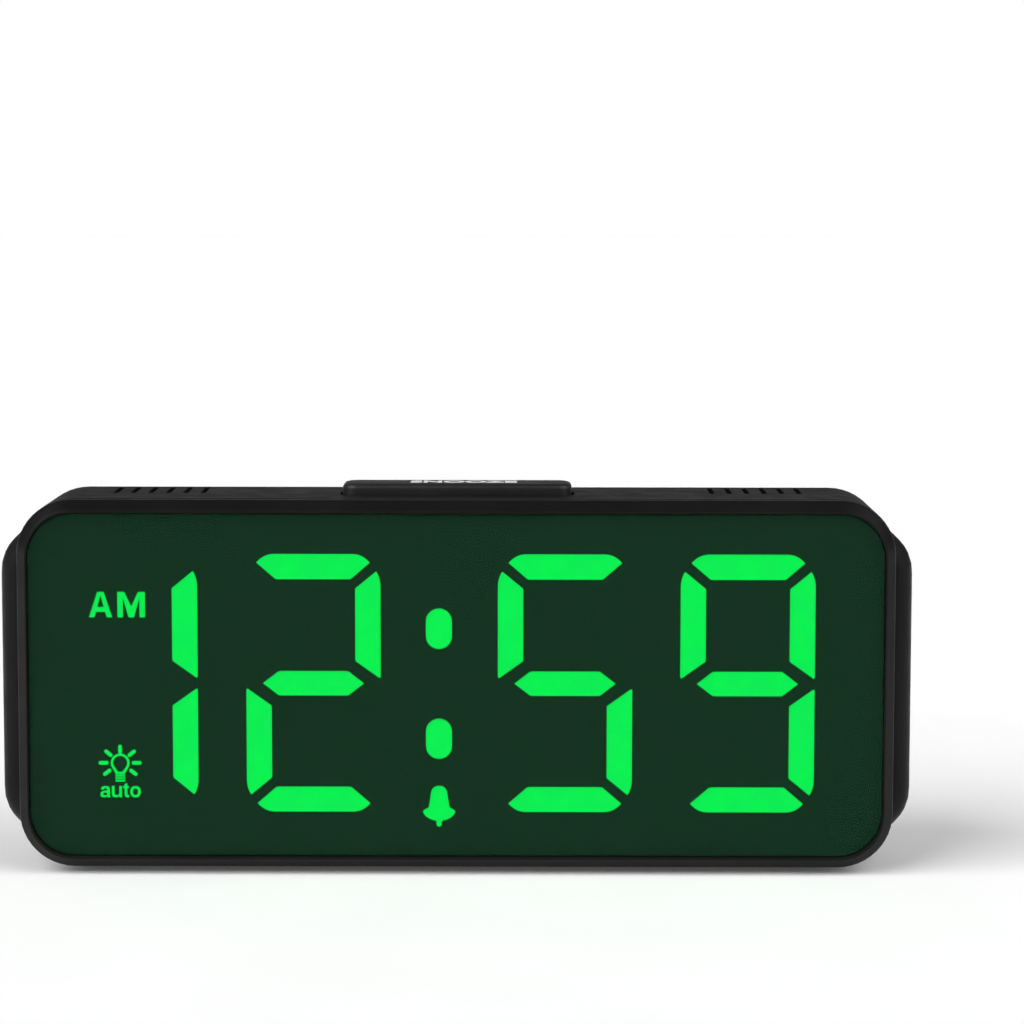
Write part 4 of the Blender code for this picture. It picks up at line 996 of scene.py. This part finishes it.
def make_sliders():
    for name, z in SLIDER_Z.items():
        centre = (SLIDER_X - SLIDER_TRAVEL / 2, z)
        stations = ((0.0, BACK_INNER - 0.0010), (0.0, BUTTON_TIP - 0.0006),
                    (0.0001, BUTTON_TIP - 0.0003), (0.0003, BUTTON_TIP - 0.0001))
        rings = layered(across_y, (0.0040, 0.0032), 0.0003, centre, stations, 4, follow=0)
        knob = solid(f"{name}_slide_cap", rings)
        add(knob, deep(box(0.0128, 0.0060, centre), BACK_INNER - GAP - 0.0009, BACK_INNER - GAP))
        add(knob, deep(box(0.0018, 0.0018, centre), 0.0073, BACK_INNER - 0.0007))
        grooves = [box(0.0004, 0.0050, (centre[0] + step * 0.0009, z)) for step in (-1, 0, 1)]
        cut(knob, *[deep(groove, BUTTON_TIP - 0.0005, BUTTON_TIP + PAST) for groove in grooves])
        dress(knob, "keys", f"{name}_slider", [f"{name}_knob"])


def make_screws():
    profile = eased([
        (0.0007, -0.0020), (0.0013, -0.0014), (0.0013, SCREW_HEAD), (0.0025, SCREW_HEAD),
        (0.0025, SCREW_HEAD + 0.0008), (0.0019, SCREW_HEAD + 0.0015), (0.0008, SCREW_HEAD + 0.0016),
    ], 0.0004, 4)
    for number, spot in enumerate(SCREW_SPOTS, start=1):
        screw = solid(f"case_screw_{number}", turned(across_y, profile, spot, 40))
        for arm in (box(0.0026, 0.0005, spot), box(0.0005, 0.0026, spot)):
            cut(screw, deep(arm, SCREW_HEAD + 0.0007, SCREW_HEAD + 0.003))
        dress(screw, "steel", stands_for=[f"cover_screw_{number}"])


def make_socket():
    centre = (SOCKET_X, SOCKET_Z)
    front, back = 0.0074, BACK_FACE - 0.0002
    stations = ((0.0, front), (0.0, back - 0.0001), (0.0001, back), (0.0004, back), (0.0004, 0.0090))
    shell = solid("socket_shell", layered(across_y, (0.0090, 0.0033), 0.0015, centre, stations, 10))
    half_tongue, tongue_height = 0.0031, 0.0007
    profile = eased([(half_tongue - 0.0002, 0.0088), (half_tongue, 0.0091), (half_tongue, back - 0.0014),
                     (half_tongue - 0.0002, back - 0.0012)], 0.0001)
    add(shell, [across_y(box(2 * half, tongue_height - 2 * (half_tongue - half), centre), y)
                for half, y in profile])
    dress(shell, "steel", stands_for=["power_socket"])


def make_speaker():
    def piece(name, profile, finish, node):
        made = solid(name, turned(across_y, profile, (SPEAKER_X, SPEAKER_Z), 64))
        dress(made, finish, stands_for=[node])

    rim = BACK_INNER - GAP
    basket = eased([
        (0.0080, 0.0100), (0.0128, 0.0119), (0.0128, rim), (SPEAKER_RADIUS, rim),
        (SPEAKER_RADIUS, 0.0115), (0.0093, 0.0094), (0.0040, 0.0094),
    ], 0.0003)
    piece("speaker_frame", basket, "dark", "speaker_basket")
    cone = eased([
        (0.0010, 0.0119), (0.0028, 0.0116), (0.0035, 0.0111), (0.0112, 0.0125), (0.0118, 0.0128),
        (0.0124, 0.0125), (0.0124, 0.0122), (0.0112, 0.0121), (0.0035, 0.0107), (0.0028, 0.0112),
        (0.0010, 0.0115),
    ], 0.0004, 4)
    piece("speaker_paper_cone", cone, "paper", "speaker_cone")
    magnet = eased([(0.0060, 0.0056), (0.0065, 0.0060), (0.0065, 0.0091)], 0.0003)
    piece("speaker_magnet_cup", magnet, "steel", "speaker_magnet")


def make_cells():
    for number, (row, nub_side) in enumerate(((-1, -1), (0, 1), (1, -1)), start=1):
        centre = (CELL_Y, MID_Z + row * CELL_PITCH)
        half = CELL_LENGTH / 2
        sleeve = eased([
            (CELL_RADIUS - 0.0009, 0.00012 - half), (CELL_RADIUS - 0.0003, 0.00008 - half),
            (CELL_RADIUS, 0.0004 - half), (CELL_RADIUS, half - 0.0004),
            (CELL_RADIUS - 0.0003, half - 0.00008), (CELL_RADIUS - 0.0009, half - 0.00012),
        ])
        base = eased([(0.0030, 0.0001 - half), (0.0036, -half), (0.0046, -half),
                      (0.0046, 0.0003 - half)], 0.0001)
        head = eased([(0.0046, half - 0.0003), (0.0046, half), (0.0021, half), (0.0019, half + 0.0002),
                      (0.0019, half + CELL_NUB - 0.0002), (0.0017, half + CELL_NUB)], 0.0001)
        cell, *ends = [turned(across_x, [(radius, nub_side * x) for radius, x in stations], centre)
                       for stations in (sleeve, base, head)]
        stands_for = [f"battery_{number}"]
        dress(solid(f"cell_{number}", cell), "jacket", stands_for=stands_for)
        dress(solid(f"cell_{number}_ends", *ends), "steel", stands_for=stands_for)


def make_contacts():
    near, far = BAY_HALF_WIDTH - GAP - 0.0005, BAY_HALF_WIDTH - GAP
    plans = {
        "contact_positive": (-1, (1,), (1,)),
        "contact_link_left": (-1, (0, -1), (-1,)),
        "contact_link_right": (1, (1, 0), (0,)),
        "contact_negative": (1, (-1,), ()),
    }
    for name, (side, rows, dimpled) in plans.items():
        middle = sum(rows) / len(rows) * CELL_PITCH
        height = 0.0088 + (len(rows) - 1) * CELL_PITCH
        plate = rounded(0.0088, height, 0.0010, (CELL_Y, MID_Z + middle), 5)
        contact = solid(f"{name}_leaf", slab(across_x, plate, side * near, side * far))
        for row in rows:
            centre = (CELL_Y, MID_Z + row * CELL_PITCH)
            root = side * (near + 0.0002)
            if row in dimpled:
                tip = side * (CELL_LENGTH / 2 + CELL_NUB + GAP)
                profile = eased([(0.0028, root), (0.0026, side * (near - 0.0001)),
                                 (0.0016, tip + side * 0.0001), (0.0012, tip)], 0.0003, 3)
                add(contact, turned(across_x, profile, centre, 32))
            else:
                reach = near + 0.0002 - CELL_LENGTH / 2 - 2 * GAP
                path = coil_path((root, *centre), (-side, 0, 0), (0.0030, 0.0018), reach, 3)
                spring = tube(f"{name}_spring_{row + 2}", path, GAP)
                dress(spring, "contact", stands_for=[name], flats=False)
        dress(contact, "contact", stands_for=[name])


def dress_nodes():
    """Finishes for the nodes whose own shape is right."""
    plans = {
        "filter": ("display_filter",), "mask": ("segment_mask",), "guide": ("light_guide",),
        "board": ("display_board", "main_board", "snooze_board", "power_board"),
        "sensor": ("light_sensor",), "ribbon": ("ribbon_cable",),
        "dark": ("snooze_plunger", *[f"plunger_{name}" for name in BUTTON_NAMES]),
        "switch": ("snooze_switch", "alarm_switch", "volume_switch",
                   *[f"switch_{name}" for name in BUTTON_NAMES]),
        "steel": ("board_screw_left", "board_screw_right"),
    }
    for finish, names in plans.items():
        for name in names:
            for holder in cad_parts[name].material_slots:
                holder.material = FINISHES[finish].material


# The studio.

def make_sun(name, towards, energy, spread):
    """A broad soft light from one side."""
    light = bpy.data.lights.new(name, "SUN")
    light.energy = energy
    light.angle = math.radians(spread)
    made = new_object(name, light)
    made.rotation_mode = "QUATERNION"
    made.rotation_quaternion = Vector(towards).to_track_quat("Z", "Y")


def make_studio():
    white = (1.0, 1.0, 1.0, 1.0)
    reach, floor_depth, floor_drop, sides = 6.0, 0.02, 0.00002, 96
    floor = solid("floor", slab(across_z, circle(reach, steps=sides), -floor_depth, -floor_drop))
    ground = Finish("floor_paper", (0.93, 0.93, 0.93), 0.9, Specular_IOR_Level=0.0,
                    Emission_Color=white, Emission_Strength=0.06)
    ground.tint(ground.noise(30, 2), (0.95, 0.95, 0.95))
    floor.data.materials.append(ground.material)
    stations = [(reach * math.cos(math.radians(lift)), reach * math.sin(math.radians(lift)))
                for lift in range(-6, 85, 6)]
    sky = solid("backdrop", turned(across_z, stations, (0.0, 0.0), sides))
    glow = Finish("backdrop_paper", (0.0, 0.0, 0.0), 1.0, Specular_IOR_Level=0.0,
                  Emission_Color=white, Emission_Strength=1.0)
    sky.data.materials.append(glow.material)
    for kind in ("visible_diffuse", "visible_glossy", "visible_transmission", "visible_shadow"):
        setattr(sky, kind, False)

    world = bpy.data.worlds.new("studio")
    world.use_nodes = True
    world.node_tree.nodes["Background"].inputs["Color"].default_value = (0.20, 0.20, 0.20, 1.0)
    bpy.context.scene.world = world
    make_sun("key_light", (-0.62, -0.48, 0.62), energy=2.5, spread=55)
    make_sun("fill_light", (0.70, -0.40, 0.62), energy=1.6, spread=60)


def make_camera():
    place = (0.0100, -0.5000, MID_Z + 0.0750)
    turn, pitch, roll = (math.radians(angle) for angle in (0.19, 84.255, 0.08))
    data = bpy.data.cameras.new("camera")
    data.lens = 114.6
    data.sensor_width = 36.0
    camera = new_object("camera", data)
    camera.matrix_world = (
        Matrix.Translation(place) @ Matrix.Rotation(turn, 4, "Z")
        @ Matrix.Rotation(pitch, 4, "X") @ Matrix.Rotation(roll, 4, "Z")
    )
    bpy.context.scene.camera = camera
    bpy.context.scene.view_settings.view_transform = "Standard"


FINISHES = make_finishes()
for make in (make_camera, make_studio, make_bezel, make_window, make_time, make_am, make_bulb, make_bell,
             make_auto, make_case, make_feet, make_snooze, make_cover, make_door, make_buttons,
             make_sliders, make_screws, make_socket, make_speaker, make_cells, make_contacts, dress_nodes):
    make()

bpy.context.view_layer.update()
